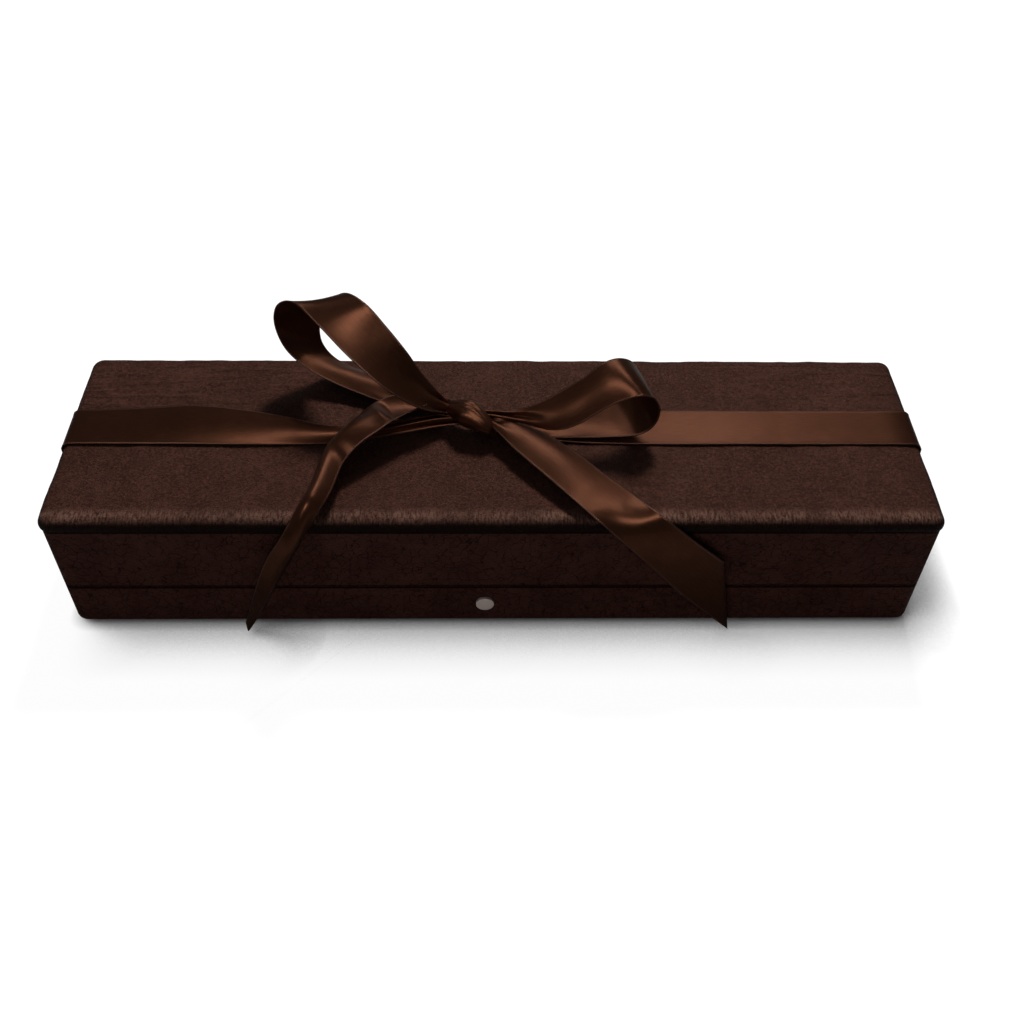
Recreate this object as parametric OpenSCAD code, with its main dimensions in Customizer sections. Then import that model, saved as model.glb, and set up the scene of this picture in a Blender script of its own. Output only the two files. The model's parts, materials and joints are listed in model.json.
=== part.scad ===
// Presentation case for a small flute: leather over a wooden tray and lid, a padded top,
// a push-button catch in the front, and a satin ribbon tied lengthwise with a bow.
// Millimetres. The case stands on z = 0, its length runs along X and its front faces -Y.

/* [Case] */
// Length over the leather-covered walls
case_l = 260; // [250:1:300]
// Depth over the leather-covered walls, from front to back
case_w = 73; // [72:0.5:90]
// Height of the seam between base and lid above the table
base_h = 18; // [18:0.5:24]
// Height of the lid's wall above that seam
lid_wall_h = 25; // [22:0.5:36]
// Width of the seam between base and lid
seam_gap = 0.3; // [0.2:0.05:0.5]
// Radius of the upright corners
corner_r = 3.5; // [3.2:0.1:4.5]
// Radius of the rounding under the base
foot_r = 2.5; // [1.8:0.1:3]
// Radius of the leather's fold at the seam
rim_r = 0.5; // [0.3:0.1:0.7]

/* [Layers] */
// Thickness of the leather
leather_t = 0.8; // [0.6:0.1:1]
// Thickness of the wooden walls
wood_t = 3.2; // [3:0.1:4]
// Thickness of the tray's wooden floor
floor_t = 2.5; // [2:0.1:3.5]
// Thickness of the wooden panel that closes the lid
panel_t = 2; // [1.5:0.1:3]
// Thickness of the satin lining on the lid's walls
lining_t = 0.8; // [0.6:0.1:1]
// Thickness of the sole under the base
sole_t = 0.6; // [0.5:0.1:0.9]
// How far the sole stays inside the case's outline
sole_inset = 3; // [2.8:0.1:5]
// Width of the leather that is turned in below the base and below the top
turn_in = 9; // [7:0.5:12]

/* [Padded top] */
// Thickness of the stiff board under the top
board_t = 1.5; // [1:0.1:2.5]
// Thickness of the foam on the board
foam_t = 0.8; // [0.6:0.1:2]
// How far the top stands out over the walls
top_overhang = 0.6; // [0.3:0.1:1.2]
// Radius of the top's upper edge
top_r = 2.6; // [2:0.1:3]
// Thickness of the satin cushion inside the lid
cushion_t = 5; // [3:0.5:8]

/* [Insert] */
// Height of the velvet insert above the seam
insert_rise = 2; // [1:0.25:3]
// Gap between the insert and what is round it
insert_gap = 0.2; // [0.15:0.05:0.3]
// Length of the flute's body joint channel
body_l = 216; // [150:1:230]
// Radius of the body joint channel
body_r = 12; // [9:0.25:12.5]
// Length of the head joint channel
head_l = 132; // [90:1:150]
// Radius of the head joint channel
head_r = 8.2; // [6:0.1:9]
// Thickness of the ridge between the two channels
ridge_t = 2.5; // [1.5:0.1:4]
// Thickness of the insert between the head joint channel and the catch
catch_land = 2.7; // [1.5:0.1:4]
// Length of the pocket for cork grease and small things
pocket_l = 62; // [40:1:80]

/* [Hinges] */
// Distance of each hinge's centre from the middle of the case
hinge_x = 70; // [50:1:95]
// Length of each hinge
hinge_l = 20; // [16:0.5:30]
// Radius of the hinge barrel
barrel_r = 1.6; // [1.5:0.05:2]
// Diameter of the hinge pin
pin_d = 1.6; // [1.4:0.05:1.8]
// Radial clearance of the pin
pin_clear = 0.05; // [0.03:0.01:0.09]
// Height of the leaf on the inside of the wall
leaf_drop = 8.5; // [7:0.5:10]
// Angle at which the hinge's stops meet
open_deg = 100; // [90:1:105]

/* [Catch] */
// Place of the button along the front, from the middle
catch_x = -3; // [-20:0.5:20]
// Height of the button's centre above the table
button_z = 10.1; // [10:0.1:11]
// Diameter of the button
button_d = 5.5; // [5:0.1:6.5]
// How far the button stands out of the leather
button_out = 1; // [0.8:0.1:1.6]
// Travel of the button
press = 1.2; // [0.9:0.1:1.3]
// Diameter of the button's stem
stem_d = 2.6; // [2.2:0.1:2.8]
// Thickness of the steel parts of the catch
steel_t = 0.6; // [0.5:0.1:0.8]
// How far the latch reaches over the striker's lips
latch_grip = 0.7; // [0.5:0.1:0.8]
// Length of the spring at rest
spring_l = 4.8; // [4:0.1:6]
// Diameter of the spring's wire
wire_d = 0.4; // [0.3:0.05:0.5]

/* [Ribbon] */
// Width of the satin ribbon
ribbon_w = 15; // [10:0.5:18]
// Thickness of the ribbon
ribbon_t = 0.3; // [0.25:0.05:0.4]
// Gap between the ribbon and the leather
ribbon_gap = 0.1; // [0.08:0.01:0.2]
// Place of the ribbon's centre line, behind the middle of the case
ribbon_y = 2.8; // [-4:0.1:6]

/* [Hidden] */
$fn = 64;

// Heights, from the table upwards
tray_z = sole_t + leather_t;
floor_z = tray_z + floor_t;
base_rim = base_h - seam_gap / 2;
tray_top = base_rim - leather_t;
lid_rim = base_h + seam_gap / 2;
shell_z = lid_rim + leather_t;
wall_top = base_h + lid_wall_h;
board_z = wall_top + leather_t;
foam_z = board_z + board_t;
top_z = foam_z + foam_t + leather_t;
insert_z = base_h + insert_rise;

// Lengths and widths of the layers, from the outside in
wood_l = case_l - 2 * leather_t;
wood_w = case_w - 2 * leather_t;
wood_r = corner_r - leather_t;
room_l = wood_l - 2 * wood_t;
room_w = wood_w - 2 * wood_t;
lined_l = room_l - 2 * lining_t;
lined_w = room_w - 2 * lining_t;
top_l = case_l + 2 * top_overhang;
top_w = case_w + 2 * top_overhang;
top_corner_r = corner_r + top_overhang;
top_under_r = 1;

// Faces across the case
front_y = -case_w / 2;
wood_front_y = -wood_w / 2;
room_front_y = -room_w / 2;
room_back_y = room_w / 2;

// Hinge axis, behind the case at the height of the seam
barrel_gap = 0.1;
axis_y = case_w / 2 + barrel_r + barrel_gap;
leaf_t = leather_t;
leaf_reach = 0.5;
knuckle_share = 0.5;
knuckle_gap = 0.2;
knuckle_clear = 0.15;
stop_t = 0.85;
stop_deg = 24;
base_stop_deg = -20.5;
hinge_screw_x = 6;
hinge_screw_z = 6;

// Screws
screw_d = 1.5;
screw_head_d = 3;
screw_head_t = 0.75;
screw_l = 3.4;
screw_clear = 0.02;

// Catch, from the front wall backwards
running_gap = 0.1;
cap_l = button_out + leather_t + 1.1;
bush_t = 0.95;
bush_seat = 0.8;
collar_d = stem_d + 1.6;
collar_t = 0.6;
fork_offset = 1.2;
fork_t = 0.8;
fork_l = 12;
fork_slot = collar_d + 0.4;
prong_w = 3;
lip_l = 1.2;
lip_t = 0.8;
lip_below = 1.1;
lift_gap = 0.15;
latch_w = 12;
latch_t = 1;
nose_t = 1.1;
nose_lip = 0.75;
nose_h = 3.15;
foot_gap = 0.1;
cap_back_y = front_y - button_out + cap_l;
fork_y = room_front_y + fork_offset;
lip_y = fork_y + fork_t + lip_l;
nose_y = lip_y - latch_grip;
latch_back_y = nose_y + nose_t + latch_t;
housing_back_y = latch_back_y + spring_l;
stem_end_y = housing_back_y + steel_t + 0.3;
lip_z = button_z - lip_below - lip_t;
nose_z = lip_z + lip_t + lift_gap;
housing_z = button_z - 4.1;
housing_w = latch_w + 6;
strike_w = housing_w + 4;
strike_screw_x = 8;
strike_edge = 0.6;
striker_flange = 8;
striker_foot = 1.4;
pocket_back_y = stem_end_y + press + 0.6;

// Insert
top_inset = 0.5;
head_y = pocket_back_y + catch_land + head_r;
body_y = head_y + head_r + ridge_t + body_r;
head_x = -room_l / 2 + 7 + head_l / 2;
pocket_x = room_l / 2 - 14 - pocket_l / 2;
pocket_w = 15;
pocket_floor = 4;
scoop_r = 9;
scoop_x = [-78, 0, 78];

// Ribbon
band_lift = ribbon_gap + ribbon_t / 2;
strip_steps = 4;
bend_steps = 6;
seam_stop = 0.3;

LEATHER = [0.16, 0.07, 0.06];
WOOD = [0.62, 0.45, 0.28];
VELVET = [0.2, 0.09, 0.1];
SATIN = [0.27, 0.13, 0.1];
STEEL = [0.68, 0.68, 0.7];
BRASS = [0.72, 0.56, 0.28];
PALE = [0.7, 0.67, 0.65];
BOARD = [0.5, 0.46, 0.4];
FOAM = [0.75, 0.72, 0.65];
SUEDE = [0.1, 0.06, 0.06];

// General shapes

// Flat outline with rounded corners
module outline(l, w, r) {
    square([l - 2 * r, w], center = true);
    square([l, w - 2 * r], center = true);
    for (x = [-1, 1], y = [-1, 1])
        translate([x * (l / 2 - r), y * (w / 2 - r)]) circle(r);
}

// Upright block with rounded upright corners, or square ones where r is 0
module slab(l, w, z0, z1, r = 0) {
    translate([0, 0, z0]) linear_extrude(z1 - z0)
        if (r > 0) outline(l, w, r);
        else square([l, w], center = true);
}

// The sliver outside a round edge, with its sharp corner at the origin
module edge_sliver(r) {
    difference() {
        translate([-r, -r]) square(r + 1);
        translate([-r, -r]) circle(r);
    }
}

// Upright section of a block whose lower and upper edges are rounded
module section(w, z0, z1, low_r, high_r) {
    difference() {
        translate([-w / 2, z0]) square([w, z1 - z0]);
        for (side = [0, 1]) mirror([side, 0]) {
            if (high_r > 0) translate([w / 2, z1]) edge_sliver(high_r);
            if (low_r > 0) translate([w / 2, z0]) mirror([0, 1]) edge_sliver(low_r);
        }
    }
}

// Block with rounded upright corners and rounded lower and upper edges
module soft_block(l, w, z0, z1, r, low_r = 0, high_r = 0) {
    rotate([90, 0, 90]) linear_extrude(l - 2 * r, center = true)
        section(w, z0, z1, low_r, high_r);
    rotate([90, 0, 0]) linear_extrude(w - 2 * r, center = true)
        section(l, z0, z1, low_r, high_r);
    for (x = [-1, 1], y = [-1, 1])
        translate([x * (l / 2 - r), y * (w / 2 - r), 0]) rotate_extrude()
            intersection() {
                section(2 * r, z0, z1, low_r, high_r);
                translate([0, z0]) square([r, z1 - z0]);
            }
}

// Round bar along X, from x0 to x1
module bar_x(r, x0, x1) {
    translate([x0, 0, 0]) rotate([0, 90, 0]) cylinder(h = x1 - x0, r = r);
}

// Round bar along Y, from y0 to y1
module bar_y(r, y0, y1) {
    translate([0, y0, 0]) rotate([-90, 0, 0]) cylinder(h = y1 - y0, r = r);
}

// Curved strip round the X axis, between two radii and two angles counted from +Y towards +Z
module stop_strip(r0, r1, from_deg, to_deg, x0, x1) {
    translate([x0, 0, 0]) rotate([90, 0, 90]) rotate([0, 0, from_deg])
        rotate_extrude(angle = to_deg - from_deg) translate([r0, 0]) square([r1 - r0, x1 - x0]);
}

// Countersunk screw at the origin, its head level with y = 0 and its point towards +Y
module screw(extra = 0) {
    rotate([-90, 0, 0]) {
        cylinder(h = screw_head_t, r1 = screw_head_d / 2 + extra, r2 = screw_d / 2 + extra);
        cylinder(h = screw_l + extra, r = screw_d / 2 + extra);
    }
}

// Places of repeated parts

module at_hinges() {
    for (side = [-1, 1]) translate([side * hinge_x, axis_y, base_h]) children();
}

// The screws of one hinge half, on the inside of the back wall, below the seam
module at_leaf_screws() {
    for (hinge = [-1, 1], side = [-1, 1])
        translate([hinge * hinge_x + side * hinge_screw_x, room_back_y - leaf_t,
                   base_rim - hinge_screw_z]) children();
}

// The strike plate's screws, driven down into the rim
module at_strike_screws() {
    for (side = [-1, 1])
        translate([catch_x + side * strike_screw_x, strike_front_y() + screw_head_d / 2 + running_gap,
                   base_rim])
            rotate([-90, 0, 0]) children();
}

// The striker's screws, driven forwards into the lid's front wall
module at_striker_screws() {
    for (side = [-1, 1])
        translate([catch_x + side * fork_l / 3, room_front_y + fork_t,
                   lid_rim + striker_foot + striker_flange * 0.6])
            rotate([0, 0, 180]) children();
}

module at_button() {
    translate([catch_x, 0, button_z]) children();
}

// What the lid's half of anything is: the base's half turned over at the seam
module turned_over() {
    translate([0, 0, 2 * base_h]) mirror([0, 0, 1]) children();
}

// Room that the hinge leaves take in the rim
module leaf_recesses() {
    for (side = [-1, 1])
        translate([side * hinge_x - hinge_l / 2 - running_gap, room_back_y - 1, tray_top])
            cube([hinge_l + 2 * running_gap, case_w, leather_t + 1]);
}

// Base

module base_sole() color(SUEDE) {
    difference() {
        union() {
            slab(case_l - 2 * sole_inset, case_w - 2 * sole_inset, 0, sole_t, corner_r / 2);
            slab(case_l - 2 * (turn_in + running_gap), case_w - 2 * (turn_in + running_gap),
                 sole_t, tray_z);
        }
        // groove that lets the ribbon pass under the case
        translate([-case_l / 2, ribbon_y - ribbon_w / 2 - ribbon_gap, -1])
            cube([case_l, ribbon_w + 2 * ribbon_gap, 1 + ribbon_t + 1.5 * ribbon_gap]);
    }
}

module base_tray() color(WOOD) {
    difference() {
        soft_block(wood_l, wood_w, tray_z, tray_top, wood_r, foot_r - leather_t);
        slab(room_l, room_w, floor_z, base_h);
        at_button() bar_y(bush_r(), wood_front_y - 1, room_front_y + 1);
        at_leaf_screws() screw(screw_clear);
        at_strike_screws() screw(screw_clear);
    }
}

module base_cover() color(LEATHER) {
    difference() {
        soft_block(case_l, case_w, sole_t, base_rim, corner_r, foot_r, rim_r);
        soft_block(wood_l, wood_w, tray_z, tray_top, wood_r, foot_r - leather_t);
        slab(room_l, room_w, tray_z + 1, base_h);
        slab(case_l - 2 * turn_in, case_w - 2 * turn_in, 0, tray_z + 1);
        at_button() bar_y(button_d / 2 + 1.5 * running_gap, front_y - 1, 0);
        leaf_recesses();
        translate([catch_x - strike_w / 2 - running_gap, strike_front_y() - running_gap, tray_top])
            cube([strike_w + 2 * running_gap, case_w / 2, leather_t + 1]);
    }
}

// Velvet block with a channel for each joint of the flute and a pocket for small things
module insert_block() color(VELVET) {
    low_l = room_l - 2 * insert_gap;
    low_w = room_w - 2 * insert_gap;
    difference() {
        union() {
            slab(low_l, low_w, floor_z, tray_top);
            soft_block(lined_l - 2 * top_inset, lined_w - 2 * top_inset, floor_z, insert_z, 1, 0, 0.8);
        }
        translate([0, body_y, base_h]) bar_x(body_r, -body_l / 2, body_l / 2);
        translate([head_x, head_y, base_h]) bar_x(head_r, -head_l / 2, head_l / 2);
        translate([pocket_x - pocket_l / 2, head_y - pocket_w / 2, floor_z + pocket_floor])
            cube([pocket_l, pocket_w, base_h]);
        for (x = scoop_x)
            translate([x, 0, insert_z + 1]) bar_y(scoop_r, head_y - head_r - 1, body_y + body_r + 3);
        // room for the catch and for the hinges' leaves
        translate([catch_x - strike_w / 2 - insert_gap, -case_w / 2, housing_z - insert_gap])
            cube([strike_w + 2 * insert_gap, case_w / 2 + pocket_back_y, base_h]);
        for (side = [-1, 1])
            translate([side * hinge_x - hinge_l / 2 - insert_gap, room_back_y - leaf_t - insert_gap,
                       base_rim - leaf_drop - insert_gap])
                cube([hinge_l + 2 * insert_gap, case_w, base_h]);
    }
}

// Catch

function bush_r() = button_d / 2 + running_gap + bush_t;
function strike_front_y() = (front_y + wood_front_y) / 2 + strike_edge;

module button_bush() color(STEEL) at_button() {
    flange_y = cap_back_y + press + running_gap;
    difference() {
        bar_y(bush_r() - screw_clear, wood_front_y, room_front_y);
        bar_y(button_d / 2 + running_gap, wood_front_y - 1, flange_y);
        bar_y(stem_d / 2 + 0.8 * running_gap, flange_y - 1, room_front_y + 1);
    }
}

// Button with a softly domed face
module button_cap() color(PALE) at_button() {
    dome_h = 0.35;
    dome_r = (pow(button_d / 2, 2) + pow(dome_h, 2)) / (2 * dome_h);
    face_y = front_y - button_out;
    intersection() {
        bar_y(button_d / 2, face_y, cap_back_y);
        translate([0, face_y + dome_r, 0]) sphere(dome_r, $fn = 128);
    }
}

module button_stem() color(STEEL) at_button() {
    bar_y(stem_d / 2, cap_back_y, stem_end_y);
    bar_y(collar_d / 2, room_front_y + running_gap, room_front_y + running_gap + collar_t);
}

// Plate on the stem, with a sloping nose that holds the striker's lips down
module latch_plate() color(STEEL) {
    plate_y = nose_y + nose_t;
    plate_z = housing_z + steel_t + foot_gap;
    difference() {
        translate([catch_x - latch_w / 2, 0, 0]) rotate([90, 0, 90]) linear_extrude(latch_w)
            polygon([[nose_y, nose_z], [plate_y, nose_z], [plate_y, plate_z], [latch_back_y, plate_z],
                     [latch_back_y, nose_z + nose_h], [plate_y, nose_z + nose_h],
                     [nose_y, nose_z + nose_lip]]);
        at_button() bar_y(stem_d / 2 + screw_clear, nose_y - 1, latch_back_y + 1);
    }
}

// Round wire wound round the stem, one ring of the tube after another
module catch_spring() color(STEEL) at_button() {
    turns = 4;
    rings_per_turn = 16;
    sides = 8;
    count = turns * rings_per_turn;
    mean_r = stem_d / 2 + 0.3 + wire_d;
    pitch = (spring_l - wire_d - running_gap) / turns;
    start_y = latch_back_y + (wire_d + running_gap) / 2;
    rings = [for (i = [0 : count], j = [0 : sides - 1])
        let (turn = 360 * i / rings_per_turn, side = 360 * j / sides,
             r = mean_r + wire_d / 2 * cos(side))
        [r * cos(turn), start_y + pitch * i / rings_per_turn + wire_d / 2 * sin(side), r * sin(turn)]];
    polyhedron(rings, tube_faces(count, sides));
}

// Steel housing behind the front wall, open towards the wall and towards the strike plate
module catch_housing() color(STEEL) {
    depth = housing_back_y + steel_t - room_front_y;
    difference() {
        translate([catch_x - housing_w / 2, room_front_y, housing_z])
            cube([housing_w, depth, tray_top - housing_z]);
        translate([catch_x - housing_w / 2 + steel_t, room_front_y - 1, housing_z + steel_t])
            cube([housing_w - 2 * steel_t, depth + 1 - steel_t, base_h]);
        at_button() bar_y(stem_d / 2 + 0.8 * running_gap, housing_back_y - 1, housing_back_y + 2);
    }
}

// Plate on the rim, with the slot that the striker enters
module strike_plate() color(STEEL) {
    slot_y = fork_y - 0.9;
    difference() {
        translate([catch_x - strike_w / 2, strike_front_y(), tray_top])
            cube([strike_w, housing_back_y + steel_t - strike_front_y(), leather_t]);
        translate([catch_x - fork_reach() / 2 - 0.3, slot_y, tray_top - 1])
            cube([fork_reach() + 0.6, lip_y + 0.3 - slot_y, leather_t + 2]);
        at_strike_screws() screw(screw_clear);
    }
}

module strike_screws() color(STEEL) at_strike_screws() screw();

function fork_reach() = fork_slot + 2 * prong_w;

// Striker on the lid: a plate on the wall, stepped inwards, with two prongs that end in lips
module striker() color(STEEL) {
    wall_y = room_front_y;
    step_z = lid_rim;
    flange_z = lid_rim + striker_foot;
    difference() {
        union() {
            translate([catch_x - fork_reach() / 2, 0, 0]) rotate([90, 0, 90]) linear_extrude(fork_reach())
                polygon([[wall_y, flange_z + striker_flange], [wall_y, flange_z],
                         [fork_y, step_z], [fork_y, lip_z], [lip_y, lip_z], [lip_y, lip_z + lip_t],
                         [fork_y + fork_t, lip_z + lip_t], [fork_y + fork_t, step_z + 0.3],
                         [wall_y + fork_t, flange_z + 0.3], [wall_y + fork_t, flange_z + striker_flange]]);
            translate([catch_x - fork_l / 2, wall_y, flange_z])
                cube([fork_l, fork_t, striker_flange]);
        }
        // slot between the prongs, open below, for the stem and its collar
        translate([catch_x - fork_slot / 2, fork_y - 0.4, lip_z - 1])
            cube([fork_slot, lip_l + fork_t + 1, button_z - lip_z + 1 + collar_d / 2 + 0.5]);
        at_striker_screws() screw(screw_clear);
    }
}

module striker_screws() color(STEEL) at_striker_screws() screw();

// Hinges

// One hinge half below the seam: a leaf over the rim and down the wall, and its knuckles
module hinge_half(knuckles, others) {
    rim_y = room_back_y - leaf_t - axis_y;
    difference() {
        union() {
            translate([-hinge_l / 2, rim_y, tray_top - base_h])
                cube([hinge_l, -barrel_r + leaf_reach - rim_y, leaf_t]);
            translate([-hinge_l / 2, rim_y, base_rim - leaf_drop - base_h])
                cube([hinge_l, leaf_t, leaf_drop]);
            for (k = knuckles) bar_x(barrel_r, k[0], k[1]);
        }
        for (k = others) bar_x(barrel_r + knuckle_clear, k[0] - knuckle_gap, k[1] + knuckle_gap);
        bar_x(pin_d / 2 + pin_clear, -hinge_l, hinge_l);
    }
}

middle_knuckle = [[-hinge_l * knuckle_share / 2, hinge_l * knuckle_share / 2]];
end_knuckles = [[-hinge_l / 2, -hinge_l * knuckle_share / 2 - knuckle_gap],
                [hinge_l * knuckle_share / 2 + knuckle_gap, hinge_l / 2]];

// Stop bar along the barrel: joined to its own knuckles, and clear of the other ones
module hinge_stop(middle_deg, knuckles) {
    inner_r = barrel_r + knuckle_clear;
    stop_strip(inner_r, inner_r + stop_t, middle_deg - stop_deg / 2, middle_deg + stop_deg / 2,
               -hinge_l / 2, hinge_l / 2);
    for (k = knuckles)
        stop_strip(barrel_r - 0.3, inner_r + stop_t, middle_deg - stop_deg / 2,
                   middle_deg + stop_deg / 2, k[0], k[1]);
}

module hinge_base_halves() color(BRASS) difference() {
    at_hinges() {
        hinge_half(end_knuckles, middle_knuckle);
        hinge_stop(base_stop_deg, end_knuckles);
    }
    at_leaf_screws() screw(screw_clear);
}

module hinge_lid_halves() color(BRASS) difference() {
    at_hinges() {
        mirror([0, 0, 1]) hinge_half(middle_knuckle, end_knuckles);
        hinge_stop(base_stop_deg + open_deg + stop_deg + 0.5, middle_knuckle);
    }
    turned_over() at_leaf_screws() screw(screw_clear);
}

module hinge_pins() color(BRASS) at_hinges() bar_x(pin_d / 2, -hinge_l / 2, hinge_l / 2);

module hinge_base_screws() color(BRASS) at_leaf_screws() screw();

module hinge_lid_screws() color(BRASS) turned_over() at_leaf_screws() screw();

// Lid

module lid_shell() color(WOOD) {
    difference() {
        slab(wood_l, wood_w, shell_z, wall_top, wood_r);
        slab(room_l, room_w, shell_z - 1, wall_top - panel_t);
        turned_over() at_leaf_screws() screw(screw_clear);
        at_striker_screws() screw(screw_clear);
    }
}

module lid_cover() color(LEATHER) {
    difference() {
        soft_block(case_l, case_w, lid_rim, wall_top, corner_r, rim_r, rim_r);
        slab(wood_l, wood_w, shell_z, wall_top + 1, wood_r);
        slab(room_l, room_w, lid_rim - 1, wall_top);
        turned_over() leaf_recesses();
    }
}

module lid_lining() color(SATIN) {
    difference() {
        slab(room_l, room_w, shell_z, wall_top - panel_t);
        slab(lined_l, lined_w, shell_z - 1, wall_top);
        turned_over() for (side = [-1, 1])
            translate([side * hinge_x - hinge_l / 2 - running_gap, 0, base_rim - leaf_drop - running_gap])
                cube([hinge_l + 2 * running_gap, case_w, base_h]);
        translate([catch_x - fork_l / 2 - running_gap, -case_w, lid_rim - 1])
            cube([fork_l + 2 * running_gap, case_w, striker_foot + striker_flange + 1 + running_gap]);
    }
}

module lid_cushion() color(SATIN) {
    soft_block(lined_l - 2 * insert_gap, lined_w - 2 * insert_gap,
               wall_top - panel_t - cushion_t, wall_top - panel_t, 3.5, 3, 0.6);
}

// Space inside the leather of the top, which its board and its foam fill
module top_space() {
    soft_block(top_l - 2 * leather_t, top_w - 2 * leather_t, board_z, top_z - leather_t,
               top_corner_r - leather_t, 0, top_r - leather_t);
}

module top_board() color(BOARD) {
    intersection() {
        top_space();
        slab(top_l, top_w, board_z, foam_z);
    }
    slab(case_l - 2 * (turn_in + running_gap), case_w - 2 * (turn_in + running_gap),
         wall_top, board_z);
}

module top_pad() color(FOAM) {
    intersection() {
        top_space();
        slab(top_l, top_w, foam_z, top_z);
    }
}

module top_cover() color(LEATHER) {
    difference() {
        soft_block(top_l, top_w, wall_top, top_z, top_corner_r, top_under_r, top_r);
        top_space();
        slab(case_l - 2 * turn_in, case_w - 2 * turn_in, wall_top - 1, board_z + 0.5);
    }
}

// Ribbon and bow

// Faces of a tube of count + 1 rings with the given number of sides, closed at both ends.
// Its second half is cut along the other diagonal, so that both faces of a flat strip are cut alike.
function tube_faces(count, sides) = concat(
    [for (i = [0 : count - 1], j = [0 : sides - 1])
        let (a = i * sides + j, b = i * sides + (j + 1) % sides)
        j < sides / 2 ? [a, b, b + sides] : [a, b, a + sides]],
    [for (i = [0 : count - 1], j = [0 : sides - 1])
        let (a = i * sides + j, b = i * sides + (j + 1) % sides)
        [j < sides / 2 ? a : b, b + sides, a + sides]],
    [[for (j = [0 : sides - 1]) sides - 1 - j]],
    [[for (j = [0 : sides - 1]) count * sides + j]]);

// Point on the smooth curve through p1 and p2, with p0 before and p3 after them
function between(p0, p1, p2, p3, t) =
    0.5 * (2 * p1 + (p2 - p0) * t + (2 * p0 - 5 * p1 + 4 * p2 - p3) * t * t
           + (3 * p1 - p0 - 3 * p2 + p3) * t * t * t);

function unit(v) = v / norm(v);
function last(list) = list[len(list) - 1];

// Smooth curve through a list of points, with strip_steps pieces from each to the next
function smooth(points) =
    let (n = len(points))
    concat(
        [for (i = [0 : n - 2], k = [0 : strip_steps - 1])
            between(i > 0 ? points[i - 1] : 2 * points[0] - points[1], points[i], points[i + 1],
                    i < n - 2 ? points[i + 2] : 2 * points[n - 1] - points[n - 2], k / strip_steps)],
        [last(points)]);

// Flat strip of ribbon between a near edge and a far edge, half its thickness each side of them
module strip(near, far) {
    n = len(near);
    rings = [for (i = [0 : n - 1])
        let (along = (near[min(i + 1, n - 1)] + far[min(i + 1, n - 1)])
                     - (near[max(i - 1, 0)] + far[max(i - 1, 0)]),
             face = unit(cross(along, far[i] - near[i])) * ribbon_t / 2)
        each [near[i] + face, far[i] + face, far[i] - face, near[i] - face]];
    polyhedron(rings, tube_faces(n - 1, 4));
}

// Ribbon through stations, each a pair of its near edge point and its far edge point
module ribbon(stations) {
    strip(smooth([for (s = stations) s[0]]), smooth([for (s = stations) s[1]]));
}

// Places of the bow: x from the middle, y from the ribbon's centre line, z from the top
function on_top(p) = [p[0], ribbon_y + p[1], top_z + p[2]];
// Places of a hanging tail: x from the middle, y from the front wall, z from the top
function at_front(p) = [p[0], front_y + p[1], top_z + p[2]];
function pairs_on_top(list) = [for (s = list) [on_top(s[0]), on_top(s[1])]];
function pairs_at_front(list) = [for (s = list) [at_front(s[0]), at_front(s[1])]];

// Under the case and up both ends to the seam
module ribbon_base() color(SATIN) {
    low = ribbon_gap / 2;
    inner_l = case_l + 2 * ribbon_gap;
    inner_r = foot_r + ribbon_gap;
    translate([0, ribbon_y + ribbon_w / 2, 0]) rotate([90, 0, 0]) linear_extrude(ribbon_w)
        intersection() {
            difference() {
                translate([0, low + case_h()]) outline(inner_l + 2 * ribbon_t, 2 * case_h(), inner_r + ribbon_t);
                translate([0, low + ribbon_t + case_h()]) outline(inner_l, 2 * case_h(), inner_r);
            }
            translate([-case_l, 0]) square([2 * case_l, base_rim - seam_stop / 2]);
        }
}

function case_h() = top_z;

// Stations of the band from the seam, up the end of the lid and over the rounded top edge
function band_end() =
    let (wall_x = case_l / 2 + band_lift, edge_x = top_l / 2 + band_lift,
         bend_r = top_r + band_lift, bend_x = top_l / 2 - top_r, bend_z = top_z - top_r)
    concat(
        [[wall_x, lid_rim + seam_stop / 2], [wall_x, wall_top - 1.8], [edge_x, wall_top + top_under_r]],
        [for (k = [0 : bend_steps]) let (turn = 90 * k / bend_steps)
            [bend_x + bend_r * cos(turn), bend_z + bend_r * sin(turn)]]);

// Band over one end of the lid and along the top, its edges given from the bend inwards
module band(side, top_edges) {
    half = ribbon_w / 2;
    end_pairs = [for (p = band_end())
        [[side * p[0], ribbon_y - half, p[1]], [side * p[0], ribbon_y + half, p[1]]]];
    inner = pairs_on_top(top_edges);
    strip(concat([for (s = end_pairs) s[0]], smooth([for (s = inner) s[0]])),
          concat([for (s = end_pairs) s[1]], smooth([for (s = inner) s[1]])));
}

band_left_edges = [
    [[-122, -7.5, 0.3], [-122, 7.5, 0.3]],
    [[-106, -7.6, 0.3], [-106, 7.3, 1.4]],
    [[-92, -7.8, 0.4], [-92, 6.6, 3]],
    [[-78, -8, 0.4], [-78, 4.2, 3.6]],
    [[-64, -8, 0.4], [-64, 0.6, 4]],
    [[-50, -7.5, 0.6], [-50, -3, 3.6]],
    [[-34, -5, 1], [-34, -1.5, 3.4]],
    [[-18, -2, 2], [-18, 2, 3.6]]];

band_right_edges = [
    [[122, -7.5, 0.3], [122, 7.5, 0.3]],
    [[80, -7.5, 0.3], [80, 7.5, 0.3]],
    [[45, -7.5, 0.3], [45, 7.5, 0.3]],
    [[22, -6.5, 0.4], [22, 6.5, 0.4]],
    [[2, -3.5, 1.6], [2, 3.5, 1.6]]];

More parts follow.
